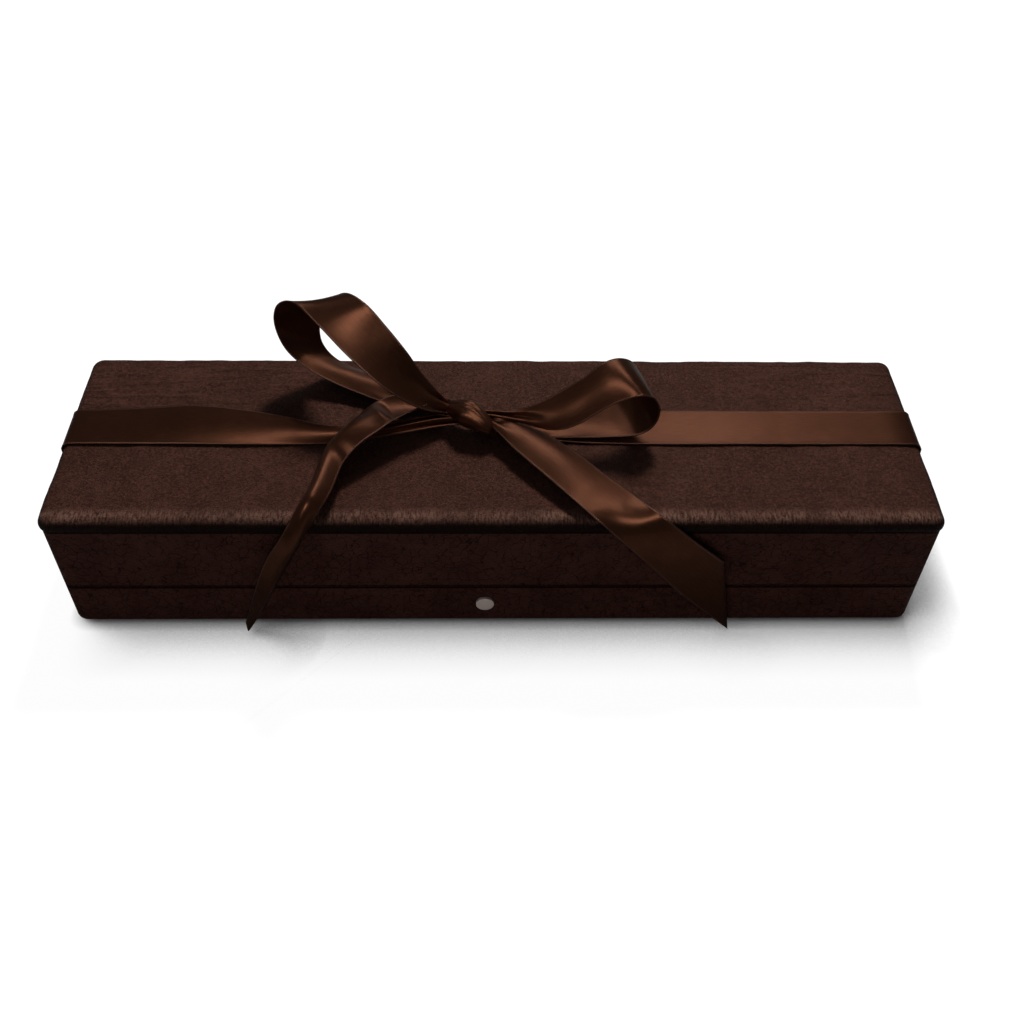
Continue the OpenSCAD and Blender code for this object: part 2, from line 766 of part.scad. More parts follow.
loop_left_edges = [
    [[-14, 0, 6], [-15, 4.5, 8]],
    [[-22, -2.5, 10], [-21.5, 7, 15]],
    [[-32, -2, 17], [-26.5, 9, 23]],
    [[-43, 4, 24.5], [-32, 13, 28.5]],
    [[-52, 12, 29.5], [-38.5, 18, 33.5]],
    [[-60, 20, 32], [-45.5, 24, 32.5]],
    [[-66, 24, 28], [-53, 29, 23]],
    [[-68, 25, 20], [-55, 29, 12.5]],
    [[-65, 22.5, 12], [-52, 28, 5.5]],
    [[-57.5, 18.5, 7], [-45.5, 25, 3]],
    [[-47, 14, 4], [-36, 21, 2.5]],
    [[-31, 7, 2.5], [-25, 14, 3]],
    [[-17, 1.5, 3.5], [-15, 6, 5]]];

loop_right_edges = [
    [[-1, -2, 6], [2, -0.5, 7]],
    [[9, -4, 5.5], [8.5, -0.5, 8.5]],
    [[17.5, -8, 6.5], [14, -0.5, 11]],
    [[24.5, -9, 9.5], [20.5, 1, 14.5]],
    [[30.5, -8, 13.5], [26.5, 2, 18.5]],
    [[37, -7, 17], [31.5, 4, 22]],
    [[42.5, -7, 19], [36.5, 6, 22.5]],
    [[47, -6, 17], [41, 7.5, 20]],
    [[49, -6, 12], [43.5, 7.5, 15.5]],
    [[47.5, -6, 6], [43, 8, 8]],
    [[43, -6, 2.6], [39, 8.5, 4]],
    [[35, -6, 1.8], [31, 8.5, 2.6]],
    [[26, -6, 1.6], [23, 7, 2.4]],
    [[15, -6, 2], [13, 4, 3]],
    [[3, -4, 3.6], [3, 1, 4.4]]];

tail_left_edges = [
    [[-14.5, 3, 7], [-15.5, 6, 7]],
    [[-18.5, 2, 8.6], [-20, 8, 8]],
    [[-23.5, -2.5, 10], [-27, 8, 7.5]],
    [[-29, -7, 10.3], [-35, 5.5, 6.5]],
    [[-34.5, -12, 9.6], [-41.5, -1, 5.5]],
    [[-40, -17, 8.4], [-46.5, -8.5, 5]],
    [[-44, -22.5, 6.5], [-50.5, -15, 4]]];

tail_left_hang = [
    [[-46.5, 5.5, 6.5], [-53, 9, 5]],
    [[-49.5, -1.5, 5.5], [-55, 1, 6]],
    [[-54.5, -3.5, -3], [-59.5, -5, 0.5]],
    [[-60, -3, -14.5], [-65.5, -5.5, -10]],
    [[-66, -2.5, -26.5], [-70.5, -5.5, -23]],
    [[-72.5, -2.5, -38], [-74.5, -4, -36]]];

tail_right_edges = [
    [[-1.5, -5, 5.5], [3, -2, 5]],
    [[6, -15, 5], [14, -6, 4]],
    [[14.5, -25, 4.5], [23.5, -14, 3.5]],
    [[22.5, -34, 3.5], [32, -22.5, 2.5]]];

tail_right_hang = [
    [[29.5, -1, 1], [40, 9.5, 1.5]],
    [[37.5, -3.5, -6], [47.5, 0.5, 2]],
    [[47, -4, -17], [57.5, -2.5, -5.5]],
    [[55.5, -4, -27.5], [66.3, -3, -13.4]]];

// Slanting cut at the end of each tail
tail_left_tip = [[-76.3, -2.5, -44.8], [-76.6, -3, -42.5]];
tail_right_tip = [[72.7, -3.7, -45.2], [66.9, -3, -14]];

// Tail through stations on the top and stations in front of the case, with a straight tip
module tail(top_edges, hang_edges, tip) {
    pairs = concat(pairs_on_top(top_edges), pairs_at_front(hang_edges));
    strip(concat(smooth([for (s = pairs) s[0]]), [at_front(tip[0])]),
          concat(smooth([for (s = pairs) s[1]]), [at_front(tip[1])]));
}

module ribbon_left() color(SATIN) band(-1, band_left_edges);

module ribbon_right() color(SATIN) band(1, band_right_edges);

// Knot: a short fold of ribbon drawn tight across the middle of the bow
module bow_knot() color(SATIN) translate(on_top([-8, 0, 0])) rotate([0, 0, -38]) {
    hull() {
        for (x = [-7, 7]) translate([x, 0, 5]) sphere(2.2, $fn = 24);
        translate([0, 0, 5]) scale([1, 1.1, 0.9]) sphere(3.6, $fn = 24);
    }
}

module bow_loop_left() color(SATIN) ribbon(pairs_on_top(loop_left_edges));

module bow_loop_right() color(SATIN) ribbon(pairs_on_top(loop_right_edges));

module bow_tail_left() color(SATIN) tail(tail_left_edges, tail_left_hang, tail_left_tip);

module bow_tail_right() color(SATIN) tail(tail_right_edges, tail_right_hang, tail_right_tip);

base_sole();
base_tray();
base_cover();
insert_block();
button_bush();
button_cap();
button_stem();
latch_plate();
catch_spring();
catch_housing();
strike_plate();
strike_screws();
hinge_base_halves();
hinge_pins();
hinge_base_screws();
lid_shell();
lid_cover();
lid_lining();
lid_cushion();
top_board();
top_pad();
top_cover();
striker();
striker_screws();
hinge_lid_halves();
hinge_lid_screws();
ribbon_base();
ribbon_left();
ribbon_right();
bow_knot();
bow_loop_left();
bow_loop_right();
bow_tail_left();
bow_tail_right();
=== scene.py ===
# %% [markdown]
# # A leather flute case tied with a satin bow
#
# A long presentation case for a small flute: wooden walls under dark brown leather, a padded lid
# that hangs a little over them, a push button in the front, and a satin ribbon tied lengthwise.
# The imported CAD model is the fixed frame. Each cell below dresses one piece of it.

# %% Load the frame
import json

import bpy
import numpy as np
from mathutils import Matrix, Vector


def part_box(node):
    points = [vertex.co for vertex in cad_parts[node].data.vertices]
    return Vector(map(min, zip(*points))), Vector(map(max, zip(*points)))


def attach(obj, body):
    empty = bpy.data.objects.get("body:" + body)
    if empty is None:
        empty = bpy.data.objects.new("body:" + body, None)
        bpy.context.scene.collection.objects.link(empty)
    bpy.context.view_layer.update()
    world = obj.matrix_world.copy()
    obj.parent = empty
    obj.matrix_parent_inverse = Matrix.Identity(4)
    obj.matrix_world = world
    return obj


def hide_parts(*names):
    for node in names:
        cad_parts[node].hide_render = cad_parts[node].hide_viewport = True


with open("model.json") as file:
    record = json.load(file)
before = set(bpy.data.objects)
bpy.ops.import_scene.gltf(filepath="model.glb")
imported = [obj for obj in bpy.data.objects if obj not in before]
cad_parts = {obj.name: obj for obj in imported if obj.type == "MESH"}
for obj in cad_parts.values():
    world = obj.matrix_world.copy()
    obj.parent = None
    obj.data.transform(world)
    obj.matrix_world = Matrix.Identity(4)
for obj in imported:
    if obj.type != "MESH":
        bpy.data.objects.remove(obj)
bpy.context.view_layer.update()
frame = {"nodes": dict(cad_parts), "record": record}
nodes = frame["nodes"]

# %% [markdown]
# ## Places that everything else is measured from
#
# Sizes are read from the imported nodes, so a change of the case carries over. Lengths are written in
# millimetres, as a case maker would, and turned into metres on the way into a mesh.

# %% Read the case's main places
MM = 0.001


def box_mm(node):
    """A CAD node's lowest and highest corner, in millimetres."""
    low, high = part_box(node)
    return np.array(low) / MM, np.array(high) / MM


top_low, top_high = box_mm("top_cover")
wall_low, wall_high = box_mm("lid_cover")
under_low, under_high = box_mm("ribbon_base")

TOP_Z = top_high[2]
FRONT_Y = wall_low[1]
SEAM_Z = (wall_low[2] + box_mm("base_cover")[1][2]) / 2
RIBBON_Y = (under_low[1] + under_high[1]) / 2
RIBBON_W = under_high[1] - under_low[1]
RIBBON_T = 0.3
LEATHER_T = 0.8
print(f"top at {TOP_Z:.1f}, front at {FRONT_Y:.1f}, seam at {SEAM_Z:.1f}, ribbon {RIBBON_W:.1f} wide")

# %% [markdown]
# ## The camera
#
# A camera could be moved by hand until the view looks right, but a pinhole camera fitted to the
# corners of the photographed case gives its place, tilt and focal length at once. Its three axes
# follow from the tilt, the swing and the roll.

# %% Put an object into the scene
def placed(name, data, axes=None, at=None):
    """An object that shows the data, with its three axes and its place in metres."""
    thing = bpy.data.objects.new(name, data)
    bpy.context.scene.collection.objects.link(thing)
    if axes is not None:
        pose = np.eye(4)
        pose[:3, :3], pose[:3, 3] = np.transpose(axes), at
        thing.matrix_world = Matrix(pose.tolist())
    return thing


# %% Place the camera
CAMERA_AT = np.array([-2.2, -252.7, 284.1])
TILT_DOWN, SWING, ROLL = np.radians([47.12, -1.82, 1.33])
FOCAL_LENGTH = 39.72
NEAREST_SEEN = 0.01


def turn(angle):
    """Rotation by an angle in a plane, as a 2 by 2 array."""
    return np.array([[np.cos(angle), -np.sin(angle)], [np.sin(angle), np.cos(angle)]])


def camera_axes(tilt, swing, roll):
    """Right, up and forward: looking along +Y, tilted down, swung round Z, rolled about the view."""
    axes = np.array([[1, 0, 0], [0, np.sin(tilt), np.cos(tilt)], [0, np.cos(tilt), -np.sin(tilt)]])
    axes[:, :2] = axes[:, :2] @ turn(swing).T
    axes[:2] = turn(-roll) @ axes[:2]
    return axes


right, up, forward = camera_axes(TILT_DOWN, SWING, ROLL)
camera = placed("camera", bpy.data.cameras.new("camera"), (right, up, -forward), CAMERA_AT * MM)
camera.data.lens = FOCAL_LENGTH
camera.data.clip_start = NEAREST_SEEN
bpy.context.scene.camera = camera
bpy.context.scene.view_settings.view_transform = "Standard"
print(f"camera {np.linalg.norm(CAMERA_AT):.0f} mm from the middle of the foot, lens {FOCAL_LENGTH} mm")

# %% [markdown]
# ## Materials
#
# Every finish could be painted as an image. Nodes need no file and fit any size. They read the
# piece's own coordinates, in millimetres, or for satin its own UV map. A few helpers keep that code
# short. Most find the node tree from the socket that they are given.


# %% Add materials and nodes
def new_material(name, roughness, **fixed):
    """A Principled material and its node tree, with fixed settings on the shader's own sockets."""
    material = bpy.data.materials.new(name)
    material.use_nodes = True
    tree = material.node_tree
    shader = tree.nodes["Principled BSDF"]
    shader.inputs["Roughness"].default_value = roughness
    for key, value in fixed.items():
        shader.inputs[key.replace("_", " ")].default_value = value
    return material, tree


def add(tree, kind, inputs=(), **settings):
    """A node of that kind, whose inputs are values or other nodes' sockets."""
    node = tree.nodes.new("ShaderNode" + kind)
    for key, value in settings.items():
        setattr(node, key, value)
    for key, value in dict(inputs).items():
        if isinstance(value, bpy.types.NodeSocket):
            tree.links.new(value, node.inputs[key])
        else:
            node.inputs[key].default_value = value
    return node


# %% Sums, fades and blends
def math_node(operation, a, b=0.0, clamp=False):
    """One sum of a socket and a number or another socket."""
    return add(a.id_data, "Math", {0: a, 1: b}, operation=operation, use_clamp=clamp).outputs[0]


def product(first, *others):
    """A socket multiplied by numbers or other sockets."""
    for other in others:
        first = math_node("MULTIPLY", first, other)
    return first


def away_from(value, place):
    """How far a value is from a place on its axis."""
    return math_node("ABSOLUTE", math_node("SUBTRACT", value, place))


def fade(value, low, high, to_low=0.0, to_high=1.0):
    """Runs smoothly from to_low to to_high while the value runs from low to high."""
    ends = {"From Min": low, "From Max": high, "To Min": to_low, "To Max": to_high}
    return add(value.id_data, "MapRange", {"Value": value, **ends},
               interpolation_type="SMOOTHSTEP").outputs[0]


def blend_colours(share, first, second):
    """The first colour where share is 0 and the second where it is 1."""
    first, second = ((*c, 1) if isinstance(c, tuple) else c for c in (first, second))
    return add(share.id_data, "Mix", {0: share, 6: first, 7: second}, data_type="RGBA").outputs[2]


def tinted(tone, *layers):
    """A colour under layers: a pattern, the values where it starts and is full, a share, a colour."""
    for pattern, start, full, share, colour in layers:
        tone = blend_colours(fade(pattern, start, full, 0, share), tone, colour)
    return tone


# %% Patterns
def millimetres(tree, stretch=(1, 1, 1)):
    """Object coordinates in millimetres, drawn out by stretch along each axis."""
    place = add(tree, "TexCoord").outputs["Object"]
    scale = tuple(1 / MM / s for s in stretch)
    return add(tree, "Mapping", {"Vector": place, "Scale": scale}).outputs["Vector"]


def noise(vector, size, detail=3.0, rough=0.55):
    """Soft noise, mostly from 0.3 to 0.7, whose blotches are about size millimetres wide."""
    return add(vector.id_data, "TexNoise", {"Vector": vector, "Scale": 1 / size, "Detail": detail,
                                            "Roughness": rough}).outputs[0]


def cells(vector, size):
    """Distance to the nearest edge of cells about size millimetres wide."""
    return add(vector.id_data, "TexVoronoi", {"Vector": vector, "Scale": 1 / size},
               feature="DISTANCE_TO_EDGE").outputs[0]


def wobble(vector, size, amount):
    """The same place, pushed about by noise, which makes straight lines meander."""
    tree = vector.id_data
    push = add(tree, "TexNoise", {"Vector": vector, "Scale": 1 / size, "Detail": 2.0}).outputs["Color"]
    centred = add(tree, "VectorMath", {0: push, 1: (0.5, 0.5, 0.5)}, operation="SUBTRACT").outputs[0]
    scaled = add(tree, "VectorMath", {0: centred, "Scale": amount}, operation="SCALE").outputs[0]
    return add(tree, "VectorMath", {0: vector, 1: scaled}, operation="ADD").outputs[0]


def finish(material, colour, layers, **linked):
    """Links the colour, what else is named, and bumps over each other: a height and its depth each."""
    tree = material.node_tree
    bump = {}
    for height, depth in layers:
        inputs = {"Height": height, "Distance": depth * MM, "Strength": 1.0, **bump}
        bump = {"Normal": add(tree, "Bump", inputs).outputs["Normal"]}
    for key, socket in {"Base Color": colour, **bump, **linked}.items():
        tree.links.new(socket, tree.nodes["Principled BSDF"].inputs[key])
    print(f"{material.name.split('.')[0]}: {len(tree.nodes)} nodes")


# %% [markdown]
# ### Leather of the padded top
#
# The top is a soft leather with a fine pebble grain. Where it is drawn over the front edge it shows
# close creases that catch the light, lightened further by a painted highlight, and towards the back
# corners long, wavy ones. Noise drawn out along one axis and faded in by place gives both without
# any mesh detail. The rounded edge below the flat top gets painted shade.

# %% Grain and colours of the top
TOP_BROWN = (0.047, 0.0185, 0.0125)
TOP_LIGHT = (0.08, 0.034, 0.024)
TOP_DARK = (0.021, 0.0085, 0.006)
PEBBLE_W = 0.62
SPECK_W = 0.8
STREAK_W = 2.2
PATCH_W = 16

top_leather, tree = new_material("top_leather", 0.46, Specular_IOR_Level=0.14,
                                 Specular_Tint=(1.0, 0.6, 0.48, 1))
place = millimetres(tree)
grain = cells(wobble(place, 1.2, 0.5), PEBBLE_W)
patches = noise(place, PATCH_W, 4.0, 0.6)
streaks = noise(millimetres(tree, (5, 1, 1)), STREAK_W, 3.0, 0.6)
speckle = noise(place, SPECK_W, 3.0, 0.7)
tone = tinted(TOP_BROWN, (patches, 0.38, 0.64, 0.4, TOP_LIGHT), (streaks, 0.45, 0.3, 0.5, TOP_DARK),
              (speckle, 0.5, 0.66, 1, TOP_LIGHT), (speckle, 0.5, 0.36, 1, TOP_DARK),
              (grain, 0.12, 0.0, 0.8, TOP_DARK))

# %% Painted highlight on the front edge, and creases of the top
TOP_GLINT = (0.15, 0.08, 0.058)
PAINTED_SHADE = (0.0035, 0.0016, 0.001)
CREASE_W = 0.5
CREASED_FROM, CREASED_AT = top_low[1] + 5.1, top_low[1] + 2.6
GLINT_FROM, GLINT_AT = top_low[1] + 7.1, top_low[1] + 3.6
FOLD_W = 2.4
FOLD_SWAY = 9.0

x, y, z = add(tree, "SeparateXYZ", {0: place}).outputs
near_front = fade(y, CREASED_FROM, CREASED_AT)
over_edge = noise(wobble(millimetres(tree, (1, 4, 4)), 1.5, 0.8), CREASE_W, 2.0, 0.6)
# Painted highlight: the creases over the front edge are lightened where light would catch them.
painted_glint = product(fade(over_edge, 0.36, 0.64), fade(y, GLINT_FROM, GLINT_AT),
               fade(z, TOP_Z - 2.4, TOP_Z - 1.2), fade(patches, 0.38, 0.6, 0.5, 1.0))
tone = blend_colours(product(painted_glint, 0.9), tone, TOP_GLINT)
# Painted shade: darker down the rounded front edge and under the top's overhang, below the top's height.
tone = tinted(tone, (z, TOP_Z, TOP_Z - 1.7, 0.97, PAINTED_SHADE))
swirl = wobble(millimetres(tree, (9, 1.3, 1)), 14, FOLD_SWAY)
to_the_corners = product(fade(math_node("ABSOLUTE", x), 45, 85), fade(y, 4, 20))
folds = product(fade(noise(swirl, FOLD_W, 1.0), 0.48, 0.7), to_the_corners)
finish(top_leather, tone, [(patches, 0.25), (folds, 0.3), (product(over_edge, near_front), 0.6),
                           (fade(grain, 0.0, 0.22), 0.1)], Roughness=fade(near_front, 0, 1, 0.5, 0.36))

# %% [markdown]
# ### Leather of the walls
#
# The same leather pressed flat, crossed by thin dark cracks that wander round cells of two to three
# millimetres: the edges of Voronoi cells on a wobbled place, broken off by noise. Hardly any light
# gets into the seams, so their lips are darkened by height.

# %% Leather of the walls
WALL_BROWN = (0.028, 0.0105, 0.008)
WALL_LIGHT = (0.037, 0.0145, 0.011)
WALL_CRACK = (0.004, 0.0014, 0.001)
CRACK_CELL_W = 2.7
WALL_GRAIN_W = 0.7
SEAM_SHADE, LID_SHADE, SHADE_FADE = 0.5, 0.8, 0.5

wall_leather, tree = new_material("wall_leather", 0.6, Specular_IOR_Level=0.03,
                                  Specular_Tint=(1.0, 0.6, 0.5, 1))
place = millimetres(tree)
crack = cells(wobble(wobble(place, 5, 4.0), 1.4, 1.3), CRACK_CELL_W)
broken = fade(noise(place, 3.2, 2.0), 0.36, 0.5)
line = product(fade(crack, 0.055, 0.0), broken)
grain = cells(wobble(place, 1.0, 0.5), WALL_GRAIN_W)
patches = noise(place, 11, 4.0, 0.6)
tone = tinted(WALL_BROWN, (patches, 0.35, 0.65, 1, WALL_LIGHT))
tone = blend_colours(product(line, 0.85), tone, WALL_CRACK)
tone = tinted(tone, (grain, 0.12, 0.0, 0.35, WALL_CRACK))
# Painted shade: on upright faces the leather darkens towards the seam between lid and base, and towards the
# top of the walls under the padded top's overhang.
rise = add(tree, "SeparateXYZ", {0: place}).outputs["Z"]
facing = add(tree, "SeparateXYZ", {0: add(tree, "TexCoord").outputs["Normal"]}).outputs["Z"]
upright = fade(math_node("ABSOLUTE", facing), 0.9, 0.6)
for fold, reach in ((SEAM_Z, SEAM_SHADE), (wall_high[2], LID_SHADE)):
    shade = fade(away_from(rise, fold), reach + SHADE_FADE, reach)
    tone = blend_colours(product(shade, upright), tone, PAINTED_SHADE)
finish(wall_leather, tone, [(patches, 0.35), (fade(crack, 0.0, 0.16), 0.12),
                            (fade(grain, 0.0, 0.2), 0.05)])

# %% [markdown]
# ### Satin
#
# Satin shines because its threads float along the ribbon: a light is drawn out across it and stays
# soft along it. Modelled threads would take millions of faces. An anisotropic shader does the same,
# with its tangent along the piece's own UV map. That map holds real millimetres, U along and V
# across, so the woven edge, the selvedge, stays half a millimetre wide on every piece.


# %% Satin of the ribbon and of the lining
SELVEDGE_W = 0.5
SELVEDGE_FADE = 0.1


def satin(name, colour, shine, edge=None):
    """Satin: shine is how much of its colour is mirrored, edge is the selvedge's colour, if it has one.
    That colour is lighter partly for the selvedge's own weave and partly as a painted highlight.
    """
    material, tree = new_material(name, 0.34, Metallic=shine, Specular_IOR_Level=0.15,
                                  Anisotropic=0.6, Anisotropic_Rotation=0.25)
    flat = add(tree, "TexCoord").outputs["UV"]
    threads = add(tree, "Mapping", {"Vector": flat, "Scale": (0.25, 6.0, 1.0)}).outputs["Vector"]
    fine = noise(threads, 1.0, 3.0, 0.6)
    soft = noise(flat, 9.0, 2.0)
    dim, bright, dull = (tuple(share * c for c in colour) for share in (0.82, 1.15, 0.7))
    tone = tinted(dim, (fine, 0.3, 0.7, 1, bright), (soft, 0.4, 0.7, 0.3, dull))
    layers = [(soft, 0.12), (fine, 0.006)]
    if edge:
        across = away_from(add(tree, "SeparateXYZ", {0: flat}).outputs["Y"], RIBBON_W / 2)
        start = RIBBON_W / 2 - SELVEDGE_W
        border = fade(across, start - SELVEDGE_FADE, start + SELVEDGE_FADE)
        ticks = add(tree, "TexWave", {"Vector": flat, "Scale": 0.45, "Distortion": 0.3},
                    bands_direction="X").outputs["Fac"]
        # Lighter selvedge: partly its own weave, partly a painted highlight along the rim.
        tone = blend_colours(product(border, 0.7), tone, edge)
        layers.append((product(border, ticks), 0.05))
    finish(material, tone, layers, Tangent=add(tree, "Tangent", direction_type="UV_MAP").outputs[0])
    return material


ribbon_satin = satin("ribbon_satin", (0.125, 0.047, 0.025), 0.93, (0.2, 0.1, 0.07))
lining_satin = satin("lining_satin", (0.32, 0.15, 0.095), 0.5)

# %% [markdown]
# ### Velvet
#
# Velvet is dark face on and lighter at a slant, because its pile stands up. Hair could be grown, but
# the shader's sheen gives the same from a step away, with a nap that noise lays in patches.

# %% Velvet of the insert
VELVET_RED = (0.09, 0.02, 0.022)
VELVET_LIGHT = (0.14, 0.036, 0.038)
VELVET_DARK = (0.05, 0.012, 0.013)

velvet, tree = new_material("velvet", 0.9, Specular_IOR_Level=0.1, Sheen_Weight=0.9,
                            Sheen_Roughness=0.35, Sheen_Tint=(0.6, 0.22, 0.2, 1))
place = millimetres(tree)
nap = noise(place, 14, 3.0)
pile = noise(place, 0.5, 2.0, 0.7)
tone = tinted(VELVET_RED, (nap, 0.4, 0.62, 1, VELVET_LIGHT), (pile, 0.35, 0.7, 0.5, VELVET_DARK))
finish(velvet, tone, [(nap, 0.3), (pile, 0.08)])

# %% [markdown]
# ### Wood
#
# The walls' wood hardly shows, so a plain straight grain is enough: bent bands for the year rings,
# and noise drawn out along the grain for the pores.

# %% Wood of the walls
WOOD_DARK = (0.36, 0.21, 0.1)
WOOD_LIGHT = (0.52, 0.34, 0.19)
PORE_DARK = (0.22, 0.12, 0.06)

wood, tree = new_material("wood", 0.55)
bent = wobble(millimetres(tree, (14, 1, 1)), 8, 3.0)
rings = add(tree, "TexWave", {"Vector": bent, "Scale": 0.12, "Distortion": 4.0, "Detail": 3.0},
            bands_direction="Y").outputs["Fac"]
pores = noise(millimetres(tree, (12, 1, 1)), 0.4, 2.0)
tone = tinted(blend_colours(rings, WOOD_DARK, WOOD_LIGHT), (pores, 0.4, 0.3, 1, PORE_DARK))
finish(wood, tone, [(pores, 0.05)])

# %% [markdown]
# ### Suede, board and the button's plastic
#
# Plain materials with a little unevenness, so one noise is both the colour and the relief.


# %% Suede, board and plastic
def mottled(name, roughness, grain, dark, light, depth, stretch=(1, 1, 1), **fixed):
    """A plain finish: a noise of that grain runs from dark to light, and is depth high."""
    material, tree = new_material(name, roughness, **fixed)
    pattern = noise(millimetres(tree, stretch), *grain)
    finish(material, blend_colours(pattern, dark, light), [(pattern, depth)])
    return material


suede = mottled("suede", 0.95, (1.2, 4.0, 0.7), (0.02, 0.012, 0.01), (0.055, 0.034, 0.028), 0.12,
                Specular_IOR_Level=0.1, Sheen_Weight=0.4, Sheen_Roughness=0.5)
greyboard = mottled("greyboard", 0.85, (0.8, 4.0, 0.7), (0.3, 0.26, 0.21), (0.46, 0.42, 0.35), 0.05,
                    stretch=(3, 1, 1))
button_plastic = mottled("button_plastic", 0.42, (0.35, 3.0, 0.6), (0.33, 0.27, 0.24),
                         (0.43, 0.35, 0.31), 0.02, Specular_IOR_Level=0.35)

# %% [markdown]
# ### Brass and steel
#
# The hinges are polished brass and the catch is nickel-plated steel. Fine brush marks along one
# direction roughen the mirror more than they colour it.


# %% Brass and steel
def metal(name, colour, roughness, along):
    """Brushed metal: the marks are noise drawn out along one direction."""
    material, tree = new_material(name, roughness, Metallic=1.0)
    marks = noise(millimetres(tree, along), 0.12, 2.0, 0.6)
    tarnish = noise(millimetres(tree), 3.0, 3.0)
    tone = tinted(colour, (tarnish, 0.35, 0.7, 1, tuple(0.72 * c for c in colour)))
    finish(material, tone, [(marks, 0.004)],
           Roughness=fade(marks, 0.3, 0.7, roughness - 0.06, roughness + 0.1))
    return material


brass = metal("brass", (0.72, 0.5, 0.2), 0.24, (20, 1, 1))
steel = metal("steel", (0.62, 0.61, 0.6), 0.3, (1, 12, 1))

# %% [markdown]
# ### Finishes on the CAD pieces
#
# The rigid pieces keep their CAD shape and get their finish by the slot that the record gives them.

# %% Dress the CAD nodes
finish_of_slot = dict(top_leather=top_leather, wall_leather=wall_leather, ribbon_satin=ribbon_satin,
                      lining_satin=lining_satin, velvet=velvet, suede=suede, wood=wood, brass=brass,
                      board=greyboard, foam=greyboard, steel=steel, button_plastic=button_plastic)
for part in frame["record"]["subparts"]:
    piece = nodes[part["node"]]
    piece.data.materials.clear()
    piece.data.materials.append(finish_of_slot[part["material_slot"]])
print(len(nodes), "CAD nodes dressed in", len(finish_of_slot), "finishes")

# %% [markdown]
# ## Turning arrays into pieces
#
# All the soft pieces are surfaces worked out on a grid. They could be sculpted by hand, but a
# formula can be read, changed and run again. Two grids that face each other, joined round their
# border, make a thin piece such as a ribbon. A profile carried round a rounded rectangle makes the
# padded top, the cushion and the lining. Faces are turned over where a piece's volume is negative.


# %% Faces of a grid, and of a closed sheet
def grid_faces(rows, columns, wrap=False):
    """Quads of a grid of points, where wrap joins its last column to the first."""
    i, j = np.meshgrid(np.arange(rows - 1), np.arange(columns if wrap else columns - 1), indexing="ij")
    after = (j + 1) % columns
    corners = [i * columns + j, (i + 1) * columns + j, (i + 1) * columns + after, i * columns + after]
    return np.stack(corners, -1).reshape(-1, 4)


def closed_sheet(front, back):
    """Points and faces of the closed piece between two grids."""
    rows, columns = front.shape[:2]
    half = rows * columns
    skin = grid_faces(rows, columns)
    index = np.arange(half).reshape(rows, columns)
    border = np.concatenate([index[0, :-1], index[:-1, -1], index[-1, :0:-1], index[:0:-1, 0]])
    after = np.roll(border, -1)
    rim = np.stack([border, after, after + half, border + half], -1)
    faces = np.concatenate([skin, skin[:, ::-1] + half, rim]).tolist()
    return np.stack([front, back]).reshape(-1, 3), faces


# %% An object from points and faces
def new_piece(name, points, faces, slot, body, uv=None):
    """An object from points in millimetres and lists of faces; uv has one pair for each point."""
    quads = np.array([f if len(f) == 4 else [*f, f[2]] for f in faces])
    a, b, c, d = points[quads.T]
    six_volumes = (a * (np.cross(b, c) + np.cross(c, d))).sum()
    if six_volumes < 0:
        faces = [f[::-1] for f in faces]
    mesh = bpy.data.meshes.new(name)
    mesh.from_pydata((points * MM).tolist(), [], faces)
    mesh.shade_smooth()
    if uv is not None:
        at_corners = uv[np.concatenate(faces)].ravel()
        mesh.uv_layers.new(name="along_and_across").data.foreach_set("uv", at_corners)
    mesh.materials.append(finish_of_slot[slot])
    piece = placed(name, mesh)
    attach(piece, body)
    size = np.round(np.ptp(points, axis=0), 1).tolist()
    print(f"{name}: {len(faces)} faces, {abs(six_volumes) / 6000:.2f} cm3, {size} mm")
    return piece


# %% Curves and unevenness
def curve_through(stations, steps):
    """A smooth curve through points: between two of them, the cubic that leaves each in the direction
    from the point before it to the point after it."""
    p = np.array(stations, float)
    p = np.concatenate([2 * p[:1] - p[1:2], p, 2 * p[-1:] - p[-2:-1]])
    t = np.arange(steps)[None, :, None] / steps
    a, b, c, d = (p[k:len(p) - 3 + k, None, :] for k in range(4))
    curve = 0.5 * (2 * b + (c - a) * t + (2 * a - 5 * b + 4 * c - d) * t**2 + (3 * b - a - 3 * c + d) * t**3)
    return np.concatenate([curve.reshape(-1, 3), p[-2:-1]])


def unit(vectors):
    """Each vector at length one."""
    return vectors / np.maximum(np.linalg.norm(vectors, axis=-1, keepdims=True), 1e-9)


def ripples(points, wavelength, seed):
    """Smooth unevenness from -1 to 1: eight sine waves of nearly that length, in random directions."""
    random = np.random.default_rng(seed)
    directions = unit(random.normal(size=(8, 3)))
    lengths = wavelength * random.uniform(0.7, 1.5, 8)
    phases = random.uniform(0, 2 * np.pi, 8)
    waves = np.sin(points @ (directions / lengths[:, None]).T * 2 * np.pi + phases)
    return waves.sum(-1) / 4


# %% [markdown]
# ## The padded top
#
# Leather is drawn over a board with thin foam, so the top is nearly flat, falls off softly round
# its border and stands a little over the walls. A cloth simulation could drape it, but a profile
# keeps the outline exact: from the middle of the top out over the edge and back underneath, carried
# round a rounded rectangle. Inside, the corners grow rounder, which keeps the grid even. Leather and
# foam are one piece.


# %% Profile carried round a rounded rectangle
def outline_columns(long_steps, short_steps, corner_steps):
    """Where each column of a rounded rectangle stands: between which two corner points, and how far."""
    signs = [(1, 1), (-1, 1), (-1, -1), (1, -1)]
    sides = [long_steps, short_steps] * 2
    columns = []
    for k in range(4):
        angles = np.radians(90 * k + 90 * np.arange(corner_steps + 1) / corner_steps)
        columns += [(*signs[k], a, *signs[k], a, 0.0) for a in angles]
        following = signs[(k + 1) % 4]
        shares = np.arange(1, sides[k]) / sides[k]
        columns += [(*signs[k], angles[-1], *following, angles[-1], s) for s in shares]
    return np.roll(np.array(columns), short_steps // 2, axis=0).T


